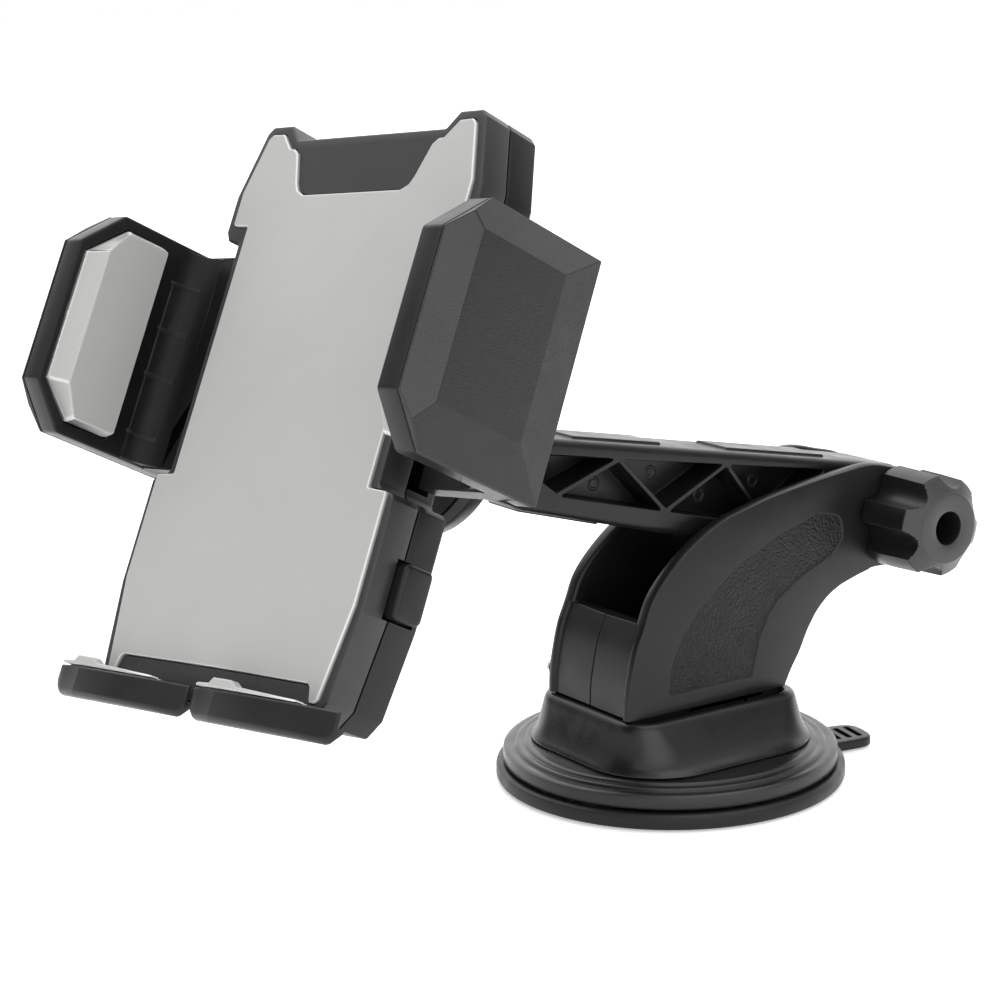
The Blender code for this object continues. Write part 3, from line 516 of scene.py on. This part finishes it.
# ---------------------------------------------------------------- neck halves
NECK_HALF = 14.5
NECK_BOTTOM = 19.1
FRONT = [(-22.3, NECK_BOTTOM), (-22.1, 23.5), (-21.3, 28.4), (-19.9, 34.0), (-17.9, 38.6),
         (-17.8, 38.85), (-15.3, 44.5), (-10.3, 50.0), (-3.6, 55.0), (5.0, 59.0), (15.0, 61.4),
         (27.0, 63.3), (37.5, 64.5), (45.3, 65.0), (53.0, 63.2), (58.5, 61.7), (62.0, 58.4),
         (63.8, 54.0)]
REAR = [(20.8, NECK_BOTTOM), (22.6, 22.5), (25.0, 26.2), (27.2, 30.5), (29.3, 33.6),
        (29.5, 33.9), (31.4, 35.8), (33.4, 37.3), (35.4, 38.4), (37.4, 39.2), (39.6, 39.8),
        (42.0, 40.4), (44.3, 40.9), (46.5, 41.4), (53.0, 41.4), (58.5, 42.9), (62.0, 46.2),
        (63.8, 50.6)]
FRONT_WALL = [4.5] * 5 + [2.4] * 9 + [1.0] * 4
REAR_WALL = [4.5] * 10 + [3.0, 3.0, 2.6, 1.5] + [1.0] * 4
STEPS = 4


def neck_ring(u, side):
    """Cross-section of one neck half at a place along its curve."""
    front = smooth_at(FRONT, [(0, 4), (5, 17)], u)
    rear = smooth_at(REAR, [(0, 4), (5, 17)], u)
    along = (rear - front).normalized()
    if u <= 4:
        lips = [(0.15, 0.9), (12.3, 0.9), (12.5, 0.35), (12.9, 0.0)]
    else:
        lips = [(11.2, 0.9), (11.3, 0.6), (11.5, 0.25), (11.9, 0.0)]
    front_wall = level_at(FRONT_WALL, u)
    rear_wall = level_at(REAR_WALL, u)
    rear_x = 0.15 if u <= 9 else 11.2
    path = [(x, front + along * d) for x, d in lips]
    path += [(13.7, front), (14.25, front + along * 0.3), (NECK_HALF, front + along * 0.9),
             (NECK_HALF, rear - along * 0.9), (14.25, rear - along * 0.3), (13.7, rear),
             (rear_x, rear), (rear_x, rear - along * rear_wall), (11.5, rear - along * rear_wall),
             (11.5, front + along * front_wall), (lips[0][0], front + along * front_wall)]
    return [(side * x, p.x, p.y) for x, p in path]


def neck_stops():
    """Places along the neck, closer together where it curves, unbroken at the two steps."""
    stops = []
    for i in range(len(FRONT) - 1):
        parts = 1 if i in (4, 9) else STEPS
        stops += [i + k / parts for k in range(parts)]
    return stops + [len(FRONT) - 1]


PANEL = [(-11.3, 22.8), (11.4, 23.0), (13.5, 31.4), (15.9, 35.8), (18.9, 39.1), (25.0, 42.9),
         (33.7, 46.4), (36.8, 49.8), (36.1, 54.8), (29.8, 56.2), (18.8, 53.0), (6.9, 47.8),
         (-1.9, 41.2), (-7.7, 35.1), (-10.7, 28.6)]
PANEL = rounded_outline(PANEL, [0.6, 0.6, 3, 3, 3, 3, 3, 2, 3, 4, 6, 6, 6, 6, 4], 4)
NECK_SCREWS = [(-19.7, 24.0), (22.9, 26.4), (35.0, 40.3)]
for side, label in ((-1, "left"), (1, "right")):
    half = make(f"neck_{label}", loft([neck_ring(u, side) for u in neck_stops()]), WORLD, "base",
                f"neck_{label}_half", "black_plastic", black, panel_grain)
    low, high = sorted((side * 0.15, side * 14.0))
    spigot = [(low, -20.6), (high, -20.6), (high, 19.0), (low, 19.0)]
    shape(half, plate(spigot, 17.2, 21.0), WORLD, "UNION")
    low, high = sorted((side * 14.2, side * 16.0))
    shape(half, plate(PANEL, low, high), ALONG_X)
    shape(half, turned([(2.62, side * 10), (2.62, side * 16)], 48), Matrix.Translation(PIVOT) @ ALONG_X)
    shape(half, turned([(1.0, 16.0), (1.0, 26.0)], 20), Matrix.Translation((side * 13.0, 10.0, 0)))
    for y, z in NECK_SCREWS:
        low, high = (-16.0, 1.0) if side < 0 else (-1.0, 9.0)
        shape(half, turned([(1.15, low), (1.15, high)], 20), Matrix.Translation((0, y, z)) @ ALONG_X)
    paint(half, 1, lambda c, n, s=side: abs(c.x - s * 14.2) < 0.02 and n.x * s > 0.9)
    soften(half, 0.22, 2, 40)

# ---------------------------------------------------------------- clamp knob
pivot_place = Matrix.Translation(PIVOT) @ ALONG_X
KNOB_PHASE = math.radians(15.0)


def knob_ring(height, radius, depth=0.0, top=99.0, count=180):
    """Six lobes parted by six scooped flutes, trimmed to the radius of the end's cone."""
    ring = []
    for i in range(count):
        angle = 2 * math.pi * i / count
        off = abs((math.degrees(angle) + 30) % 60 - 30) / 17.0
        scoop = math.sqrt(1 - off ** 2) ** 1.3 if off < 1 else 0.0
        r = min(radius - depth * scoop, top)
        ring.append((r * math.cos(angle + KNOB_PHASE), r * math.sin(angle + KNOB_PHASE), height))
    return ring


knob = [knob_ring(20.8, 4.35), knob_ring(15.1, 4.35), knob_ring(14.8, 4.7),
        knob_ring(14.8, 11.0, 2.4), knob_ring(14.95, 11.35, 2.5), knob_ring(15.3, 11.55, 2.6),
        knob_ring(15.9, 11.57, 2.6), knob_ring(21.0, 11.5, 2.6), knob_ring(27.6, 11.25, 2.6)]
for k in range(9):
    knob.append(knob_ring(27.75 + 0.27 * k, 11.2, 2.6, 11.15 - 0.36 * k))
knob += [knob_ring(30.15, 7.95), knob_ring(30.32, 7.78), knob_ring(30.4, 7.5), knob_ring(30.4, 4.1),
         knob_ring(30.25, 3.75), knob_ring(29.9, 3.6), knob_ring(23.0, 3.5), knob_ring(22.6, 3.1)]
knob_grip = make("knob_grip", loft(knob), pivot_place, "knob", "pivot_knob", "black_plastic", black,
                 knob_face_painted_light, smooth=26)
knob_axis = (pivot_place.to_3x3() @ Vector((0, 0, 1))).normalized()
# faces turned along the knob's axis get the lighter plastic: painted light
paint(knob_grip, 1, lambda c, n: abs(n.dot(knob_axis)) > 0.6)


# ---------------------------------------------------------------- arm
def arm_top(s):
    """Upper edge of the arm at a distance from the pivot."""
    return 10.7 - 0.0284 * s


def arm_bottom(s):
    """Lower edge of the arm at a distance from the pivot."""
    return -11.1 + 0.0593 * max(0.0, s - 30.0)


def window(s, upper):
    """Inner edge of the top or bottom flange."""
    return 6.7 - 0.0426 * (s - 46) if upper else -5.0 + 0.0375 * (s - 46)


EYE_R = 10.74
eye = [(EYE_R * math.cos(math.radians(a)), EYE_R * math.sin(math.radians(a)))
       for a in range(266, 93, -6)]
arm_outline = eye + [(s, arm_top(s)) for s in (12.0, 26.0, 40.0, 55.0, 70.0, 84.0, 96.0)]
arm_outline += [(99.3, 7.5), (100.6, 6.6), (101.3, 5.3), (101.5, 4.0), (101.5, -3.4), (101.3, -4.7),
                (100.5, -6.0), (99.0, -6.8)]
arm_outline += [(s, arm_bottom(s)) for s in (97.0, 85.0, 72.0, 58.0, 44.0, 30.0, 12.0)]
arm = make("arm_body", plate(arm_outline, -9.0, 9.0, 1.6, 1.6, 4), ARM, "arm", "arm_beam",
           "black_plastic", black)


FIRST_RIB = 17.9
RIB_PITCH = 14.4
RIB_HALF = 0.8
TIP_LIFT = 0.65
WINDOW_END = 94.5


def arm_pockets():
    """Triangular pockets between the zig-zag ribs, alternating point down and point up."""
    nodes = [FIRST_RIB + RIB_PITCH * k for k in range(7)]
    found = []
    for k in range(5):
        upper = k % 2 == 0
        sign = 1 if upper else -1
        first, mid, last = nodes[k:k + 3]
        left = (first + RIB_HALF, window(first, upper))
        tip = (mid, window(mid, not upper) + sign * TIP_LIFT)
        if last < WINDOW_END:
            found.append([left, (last - RIB_HALF, window(last, upper)), tip])
            continue
        part = (WINDOW_END - mid) / (last - mid)
        high = window(last, upper)
        found.append([left, (WINDOW_END, window(WINDOW_END, upper)),
                      (WINDOW_END, tip[1] + (high - tip[1]) * part), tip])
    return found


for pocket in arm_pockets():
    pocket = rounded_outline(pocket, 0.3, 2)
    for low, high in ((1.4, 12.0), (-12.0, -1.4)):
        shape(arm, plate(pocket, low, high), ARM)
    middle = (sum(p[0] for p in pocket) / len(pocket), sum(p[1] for p in pocket) / len(pocket))
    ring = turned([(1.0, 1.2), (1.35, 1.2), (1.35, 1.55), (1.0, 1.55)], 24, True)
    shape(arm, ring, ARM @ Matrix.Translation((*middle, 0)), "UNION")
for first, last in ((16.0, 45.0), (62.0, 86.0)):
    strip = [(first, arm_top(first) - 1.0), (last, arm_top(last) - 1.0),
             (last - 0.6, arm_top(last) + 0.6), (first + 0.6, arm_top(first) + 0.6)]
    shape(arm, plate(strip, -5.2, 5.2, 0.0, 0.0), ARM, "UNION")
strip = [(75.0, arm_bottom(75.0) + 1.0), (75.6, arm_bottom(75.0) - 0.5), (96.4, arm_bottom(96.0) - 0.5),
         (97.0, arm_bottom(97.0) + 1.0)]
shape(arm, plate(strip, -5.2, 5.2), ARM, "UNION")
shape(arm, turned([(2.62, -10), (2.62, 10)], 48), ARM)
bore = ARM @ Matrix(((0, 0, 1, 0), (0, 1, 0, -0.36), (1, 0, 0, 0), (0, 0, 0, 1)))
shape(arm, turned([(3.1, 95.0), (3.1, 104.0)], 32), bore)
soften(arm, 0.28, 2, 40)

# ---------------------------------------------------------------- ball joint
housing = [(14.5, -12.5), (19.5, -28.8), (19.8, -29.0), (23.2, -29.0), (23.5, -28.7), (23.4, -28.2),
           (21.9, -26.6), (21.5, -25.8), (17.6, -10.6), (17.2, -10.1), (16.8, -10.0), (11.5, -10.0),
           (11.4, -9.8), (11.4, -1.9), (11.1, -1.6), (8.3, -1.6)]
housing += [(8.15 * math.sin(math.radians(a)), -8.15 * math.cos(math.radians(a)))
            for a in (78, 70, 60, 50, 40, 30, 20, 12)]
make("socket_cone", turned(housing, 96), CRADLE_Y, "cradle", "socket_housing", "black_plastic", black)

nut_profile = [(16.9, -9.6), (17.25, -9.4), (17.4, -9.0), (17.6, -7.4), (17.5, -6.9), (17.1, -6.1),
               (15.2, -2.2), (14.6, -1.5), (7.6, 3.4), (7.0, 3.95), (6.5, 4.2), (5.9, 4.25), (5.5, 4.1),
               (5.5, 3.9), (6.25, 2.4), (6.7, 0.8), (6.9, -1.0), (7.1, -1.2), (11.4, -1.2), (11.6, -1.4),
               (11.6, -9.4), (11.8, -9.6)]
make("nut_ring", turned(nut_profile, 96, True), CRADLE_Y, "nut", "ball_nut", "black_plastic", black,
     smooth=30)

# ---------------------------------------------------------------- cradle shells and face pad
FACE_Y = -44.2
LIP_Y = -43.6
FRONT_Y = -42.6
SEAM_Y = -37.0
BACK_Y = -29.5
SHELL = mirror_x([(0, 52.7), (21.5, 52.7), (24.4, 56.0), (30.4, 56.0), (31.8, 54.6), (35.6, 41.0),
                  (35.6, 33.2), (34.4, 31.4), (30.8, 30.6), (30.8, -16.4), (31.6, -17.6),
                  (34.8, -18.2), (35.6, -19.2), (35.6, -40.0), (33.4, -56.8), (30.6, -60.3),
                  (0, -60.3)])
CAVITY = mirror_x([(0, 43.0), (32.0, 43.0), (33.4, 40.4), (33.4, 33.6), (28.4, 32.4),
                   (28.4, -18.8), (33.4, -20.4), (33.4, -42.6), (32.4, -45.0), (23.0, -46.5),
                   (22.0, -58.0), (0, -58.0)])
SCREWS = [(26.5, 48.5), (-26.5, 48.5), (27.5, -51.5), (-27.5, -51.5)]
FACE = mirror_x([(0, 40.4), (14.2, 40.4), (16.2, 41.4), (17.2, 43.0), (19.6, 49.4), (21.0, 50.5),
                 (22.4, 50.6), (25.6, 53.9), (29.0, 54.0), (30.1, 53.0), (33.4, 41.6),
                 (33.4, 34.9), (32.9, 34.4), (28.7, 34.2), (28.7, -17.6), (33.6, -18.0),
                 (33.9, -18.5), (33.9, -39.0), (31.2, -56.6), (30.4, -57.3), (29.0, -57.3),
                 (28.2, -54.6), (27.4, -54.0), (0, -53.8)])
FACE = rounded_outline(FACE, 0.45, 2)
SHELL = rounded_outline(SHELL, 0.6, 2)
face_pad = make("grip_face", plate(FACE, FACE_Y, FRONT_Y - 0.3, 0.4, 0.0, 4), CRADLE_Y, "cradle",
                "face_pad", "grey_pad", grey, grey_rim_painted_highlight)
facing = (CRADLE.to_3x3() @ Vector((0, -1, 0))).normalized()
upward = (CRADLE.to_3x3() @ Vector((0, 0, 1))).normalized()
# rim faces tilted part way to the front get the paler grey, a painted highlight along the pad's edge
paint(face_pad, 1, lambda c, n: 0.3 < n.dot(facing) < 0.97)

front = make("shell_front", plate(SHELL, LIP_Y, SEAM_Y, 0.5, 0.3, 3), CRADLE_Y, "cradle",
             "front_shell", "black_plastic", shell_black)
shape(front, plate(CAVITY, -40.6, -36.0), CRADLE_Y)
shape(front, plate(offset(FACE, -0.28), -44.5, FRONT_Y), CRADLE_Y)
rear = make("shell_rear", plate(SHELL, SEAM_Y + 0.3, BACK_Y, 0.3, 0.8, 4), CRADLE_Y, "cradle",
            "rear_shell", "black_plastic", black)
shape(rear, plate(CAVITY, -38.0, -31.5), CRADLE_Y)
shape(rear, box((-60, -37.5, -15.4), (60, -31.6, 31.4)), CRADLE)
for side in (-1, 1):
    gap = sorted((side * 30.0, side * 40.0))
    for shell in (front, rear):
        shape(shell, box((gap[0], -38.6, -39.9), (gap[1], -31.0, -28.7)), CRADLE)
    track = [(-41.6, -62.0), (-39.5, -62.0), (-39.5, -57.2), (-40.1, -57.2), (-40.1, -28.0),
             (-41.6, -28.0)]
    shape(front, plate(track, *sorted((side * 5.3, side * 16.7))), CRADLE_X)
for x, z in SCREWS:
    spot = CRADLE @ Matrix.Translation((x, 0, z)) @ ALONG_Y
    shape(front, turned([(1.35, -41.2), (1.35, -36.0)], 20), spot)
    shape(rear, turned([(1.35, -38.0), (1.35, -29.0)], 20), spot)

# ---------------------------------------------------------------- jaws
JAW_FRONT = -66.3
HEX = [(JAW_FRONT, 22.8), (-57.8, 31.4), (-28.8, 31.4), (-28.8, -15.0), (-58.6, -15.0),
       (JAW_FRONT, -6.4)]
COVER_RIM = [(*HEX[0], 55.9), (-61.78, 27.37, 56.95), (*HEX[1], 55.9), (*HEX[2], 55.9),
             (*HEX[3], 55.9), (*HEX[4], 55.9), (-62.6, -10.54, 56.76), (*HEX[5], 55.9)]
HEX = rounded_outline(HEX, [1.4, 1.4, 0.6, 0.6, 1.4, 1.4], 3)
FACET = [(-59.0, 24.9), (-38.0, 24.9), (-38.0, -6.2), (-59.0, -6.2)]
PAD_BASE = [(-64.4, 21.1), (-56.4, 28.6), (-47.2, 28.6), (-47.2, -12.2), (-57.6, -12.2),
            (-64.4, -5.4)]
PAD_BASE = rounded_outline(PAD_BASE, 0.8, 3)
PAD_FACE = [(-61.9, 22.2), (-58.6, 27.2), (-48.4, 27.2), (-48.4, -11.9), (-58.5, -11.9),
            (-61.9, -5.6)]
PAD_FACE = rounded_outline(PAD_FACE, 0.8, 3)
PINION_R = 4.5
PINION_Z = 8.0
RACK_PITCH = 2 * math.pi * PINION_R / 12
RACK_REACH = 2.0


def carriage(upper):
    """Carriage and toothed rack of the left jaw, as an outline in x and z."""
    flip = 1 if upper else -1
    tip = PINION_Z + flip * (PINION_R - 0.75)
    root = PINION_Z + flip * (PINION_R + 1.0)
    back = PINION_Z + flip * (PINION_R + 5.0)
    teeth = []
    for k in range(9):
        x = RACK_REACH - 0.82 - k * RACK_PITCH
        teeth += [(x + 0.72, root), (x + 0.26, tip), (x - 0.26, tip), (x - 0.72, root)]
    points = [(RACK_REACH, back), (RACK_REACH, root), *teeth, (-33.0, root)]
    if upper:
        return points + [(-33.0, -15.0), (-50.6, -15.0), (-50.6, 31.0), (-33.0, 31.0), (-33.0, back)]
    return points + [(-33.0, 31.0), (-50.6, 31.0), (-50.6, -15.0), (-33.0, -15.0), (-33.0, back)]


for side, label in ((-1, "left"), (1, "right")):
    low, high = sorted((side * 50.0, side * 55.2))
    edges = (0.35, 0.5) if side < 0 else (0.5, 0.35)
    jaw = make(f"jaw_{label}", plate(HEX, low, high, *edges, 3), CRADLE_X, f"{label}_jaw",
               f"{label}_jaw_frame", "black_plastic", black)
    outline = [(-side * x, z) for x, z in carriage(side < 0)]
    shape(jaw, plate(outline, -36.4, -31.9), CRADLE_Y, "UNION")
    fillet = [(side * 50.5, -36.0), (side * 50.5, -42.4)]
    for k in range(7):
        angle = math.pi / 2 * k / 6
        fillet.append((side * (44.0 + 6.0 * math.cos(angle)), -42.4 + 6.0 * math.sin(angle)))
    shape(jaw, plate(fillet, -14.6, 30.6), CRADLE, "UNION")
    rib = [(side * 50.5, -37.0), (side * 50.5, -43.6)]
    for k in range(7):
        angle = math.radians(10 * k)
        rib.append((side * (44.0 + 5.5 * math.cos(angle)), -42.4 + 5.5 * math.sin(angle)))
    for height in (-9.4, 3.0, 12.8, 22.6):
        shape(jaw, plate(rib, height, height + 0.7), CRADLE, "UNION")
    low, high = sorted((side * 49.0, side * 51.3))
    shape(jaw, plate(offset(PAD_BASE, -0.3), low, high), CRADLE_X)
    # inward-facing faces of the jaw get the darker plastic: painted shade
    jaw.data.materials.append(painted_shade_black)
    inward = (CRADLE.to_3x3() @ Vector((-side, 0, 0))).normalized()
    paint(jaw, 1, lambda c, n, i=inward: n.dot(i) > 0.1)
    soften(jaw, 0.25, 2, 40)
    bottom = [(y, z, side * 55.5) for y, z, _ in COVER_RIM]
    rim = [(y, z, side * x) for y, z, x in COVER_RIM]
    top = [(*FACET[i], side * 57.6) for i in (0, 0, 0, 1, 2, 3, 3, 3)]
    cap = make(f"jaw_cap_{label}", loft([bottom, rim, top]), CRADLE_X, f"{label}_jaw",
               f"{label}_jaw_cover", "cover_plastic", cover, painted_light_facet, smooth=4)
    outward = (CRADLE.to_3x3() @ Vector((side, 0, 0))).normalized()
    # facets facing the front or upwards get the lighter plastic: painted light
    paint(cap, 1, lambda c, n, o=outward: n.dot(o) > 0.5 and max(n.dot(facing), n.dot(upward)) > 0.15)
    round_creases(cap, 0.45)
    pad_rings = [[(*p, side * x) for p in ring] for ring, x in
                 ((PAD_BASE, 51.0), (PAD_BASE, 49.6), (PAD_FACE, 45.8))]
    grip = make(f"grip_{label}", loft(pad_rings), CRADLE_X, f"{label}_jaw", f"{label}_jaw_pad",
                "grey_pad", grey, smooth=18)
    soften(grip, 0.3, 2, 15)

# ---------------------------------------------------------------- release buttons
FLANGE = rounded_outline([(-40.2, -41.8), (-31.8, -41.8), (-31.8, -26.8), (-40.2, -26.8)], 0.8)
HEAD = rounded_outline([(-38.3, -39.5), (-31.3, -39.5), (-31.3, -29.1), (-38.3, -29.1)], 1.6, 5)
for side, label in ((-1, "left"), (1, "right")):
    rings = [(FLANGE, 31.8), (FLANGE, 33.0)]
    button = make(f"button_{label}", loft([[(*p, side * x) for p in ring] for ring, x in rings]),
                  CRADLE_X, f"{label}_button", f"{label}_release_button", "black_plastic", black)
    low, high = sorted((side * 32.5, side * 38.2))
    edges = (0.9, 0.0) if side < 0 else (0.0, 0.9)
    shape(button, plate(HEAD, low, high, *edges, 4), CRADLE_X, "UNION")
    soften(button, 0.2, 2, 45)


# ---------------------------------------------------------------- feet
def foot_ring(front, bottom):
    """Cross-section of a foot: front wall, rounded lower edge and sloped back."""
    return [(front + 0.2, -58.4), (front, -58.65), (front, bottom + 1.2), (front + 0.15, bottom + 0.6),
            (front + 0.5, bottom + 0.2), (front + 1.1, bottom), (-46.2, bottom),
            (-44.9, min(bottom + 1.3, -61.3)), (-44.9, -61.2), (-46.7, -61.2), (-46.7, -58.4)]


for side, label in ((-1, "left"), (1, "right")):
    low, high = sorted((side * 0.8, side * 41.5))
    rings = []
    for reach, front_y, bottom_z in ((0.0, -47.2, -61.9), (0.12, -47.3, -62.7), (0.6, -47.4, -63.4),
                                     (1.4, -47.55, -64.0), (2.3, -47.68, -64.3), (7.4, -48.45, -64.3),
                                     (7.6, -48.5, -64.3), (20.0, -48.6, -64.3), (33.1, -48.5, -64.3),
                                     (33.3, -48.45, -64.3), (38.4, -47.68, -64.3), (39.3, -47.55, -64.0),
                                     (40.1, -47.4, -63.4), (40.58, -47.3, -62.7), (40.7, -47.2, -61.9)):
        rings.append([(y, z, low + reach) for y, z in foot_ring(front_y, bottom_z)])
    foot = make(f"foot_{label}", loft(rings), CRADLE_X, f"{label}_foot", f"{label}_foot",
                "black_plastic", black, smooth=5)
    tongue = [(-45.2, -61.85), (-39.9, -61.85), (-39.9, -30.0), (-41.3, -30.0), (-41.3, -60.65),
              (-45.2, -60.65)]
    shape(foot, plate(tongue, *sorted((side * 6.0, side * 16.0))), CRADLE_X, "UNION")
    start = low + 1.2
    top = [(start, -58.1), (start + 0.4, -57.5), (start + 3.6, -57.3), (start + 4.6, -56.2),
           (start + 9.6, -56.2), (start + 11.4, -57.2), (start + 28.4, -57.75), (start + 28.8, -58.1)]
    strip = make(f"foot_grip_{label}", plate(rounded_outline(top, 0.35, 3), -48.3, -46.35, 0.3, 0.0),
                 CRADLE_Y, f"{label}_foot", f"{label}_foot_pad", "grey_pad", grey, smooth=30)
    liner = [(start + 0.4, -60.9), (start + 0.4, -57.6), (start + 28.4, -57.9), (start + 28.4, -60.9)]
    shape(strip, plate(liner, -46.4, -45.2, 0.0, 0.25), CRADLE_Y, "UNION")

# ---------------------------------------------------------------- carried CAD nodes
slot_of = {row["node"]: row["material_slot"] for row in frame["record"]["subparts"]}
for node, obj in frame["nodes"].items():
    obj.data.materials.clear()
    obj.data.materials.append(NODE_MATERIALS[slot_of[node]])


# ---------------------------------------------------------------- floor, light and camera
def stage_material():
    """Nearly white, slightly uneven floor."""
    s = Shader("pale_floor")
    s.colour(s.blend(s.span(s.noise(6, 3), 0.3, 0.7, 0.0, 1.0), (0.9, 0.9, 0.9), (0.93, 0.93, 0.93)))
    s.out.inputs["Roughness"].default_value = 0.9
    s.out.inputs["Specular IOR Level"].default_value = 0.1
    s.out.inputs["Emission Color"].default_value = (1.0, 1.0, 1.0, 1.0)
    s.out.inputs["Emission Strength"].default_value = 0.4
    return s.material


floor_mesh = bpy.data.meshes.new("floor")
floor_bm = bmesh.new()
bmesh.ops.create_grid(floor_bm, x_segments=8, y_segments=8, size=6.0)
floor_bm.to_mesh(floor_mesh)
floor_bm.free()
floor_mesh.materials.append(stage_material())
floor = bpy.data.objects.new("floor", floor_mesh)
floor.location.z = -0.0002
bpy.context.scene.collection.objects.link(floor)


sun_data = bpy.data.lights.new("soft_sun", "SUN")
sun_data.energy = 1.1
sun_data.angle = math.radians(70)
sun = bpy.data.objects.new("soft_sun", sun_data)
sun.rotation_euler = Vector((0.15, 0.1, -1.0)).to_track_quat("-Z", "Y").to_euler()
bpy.context.scene.collection.objects.link(sun)

world = bpy.data.worlds.new("studio")
bpy.context.scene.world = world
world.use_nodes = True
world_nodes = world.node_tree.nodes
world_links = world.node_tree.links
glow = world_nodes["Background"]
glow.inputs["Color"].default_value = (1.0, 1.0, 1.0, 1.0)
backdrop = world_nodes.new("ShaderNodeBackground")
backdrop.inputs["Color"].default_value = (1.0, 1.0, 1.0, 1.0)
backdrop.inputs["Strength"].default_value = 1.0


def panel(direction, start, full, strength):
    """Brightness of a soft light panel seen around a direction of the surroundings."""
    dot = world_nodes.new("ShaderNodeVectorMath")
    dot.operation = "DOT_PRODUCT"
    dot.inputs[1].default_value = Vector(direction).normalized()
    world_links.new(surround, dot.inputs[0])
    ramp = world_nodes.new("ShaderNodeMapRange")
    ramp.interpolation_type = "SMOOTHSTEP"
    for name, value in (("From Min", start), ("From Max", full), ("To Min", 0.0), ("To Max", strength)):
        ramp.inputs[name].default_value = value
    world_links.new(dot.outputs["Value"], ramp.inputs["Value"])
    return ramp.outputs["Result"]


surround = world_nodes.new("ShaderNodeTexCoord").outputs["Generated"]
LIGHT_PANELS = (((0, 0, 1), 0.1, 0.95, 0.95),
                ((-0.8, 0.6, 0.25), 0.3, 0.92, 1.5),
                ((0.15, -0.95, 0.35), 0.55, 0.95, 0.55),
                ((1.0, -0.15, 0.15), 0.7, 0.98, 1.9),
                ((0, 0, 1), -1.5, -1.0, 0.13))
total = None
for direction, start, full, strength in LIGHT_PANELS:
    light = panel(direction, start, full, strength)
    if total is None:
        total = light
        continue
    added = world_nodes.new("ShaderNodeMath")
    world_links.new(total, added.inputs[0])
    world_links.new(light, added.inputs[1])
    total = added.outputs["Value"]
world_links.new(total, glow.inputs["Strength"])
path = world_nodes.new("ShaderNodeLightPath")
join = world_nodes.new("ShaderNodeMixShader")
world_links.new(path.outputs["Is Camera Ray"], join.inputs["Fac"])
world_links.new(glow.outputs["Background"], join.inputs[1])
world_links.new(backdrop.outputs["Background"], join.inputs[2])
world_links.new(join.outputs["Shader"], world_nodes["World Output"].inputs["Surface"])
bpy.context.scene.view_settings.view_transform = "Standard"

camera_data = bpy.data.cameras.new("camera")
camera_data.sensor_width = 36.0
camera_data.lens = 88.44
camera_data.shift_x = -0.02765
camera_data.shift_y = -0.01945
camera_data.clip_start = 0.01
camera = bpy.data.objects.new("camera", camera_data)
azimuth, elevation, roll = (math.radians(a) for a in (55.532, 12.304, -1.012))
back = Vector((math.sin(azimuth) * math.cos(elevation), -math.cos(azimuth) * math.cos(elevation),
               math.sin(elevation)))
right = Vector((math.cos(azimuth), math.sin(azimuth), 0.0))
up = back.cross(right)
right_rolled = right * math.cos(roll) + up * math.sin(roll)
up_rolled = up * math.cos(roll) - right * math.sin(roll)
turn = Matrix((right_rolled, up_rolled, back)).transposed()
camera.matrix_world = Matrix.Translation((0.404857, -0.314342, 0.177221)) @ turn.to_4x4()
bpy.context.scene.collection.objects.link(camera)
bpy.context.scene.camera = camera
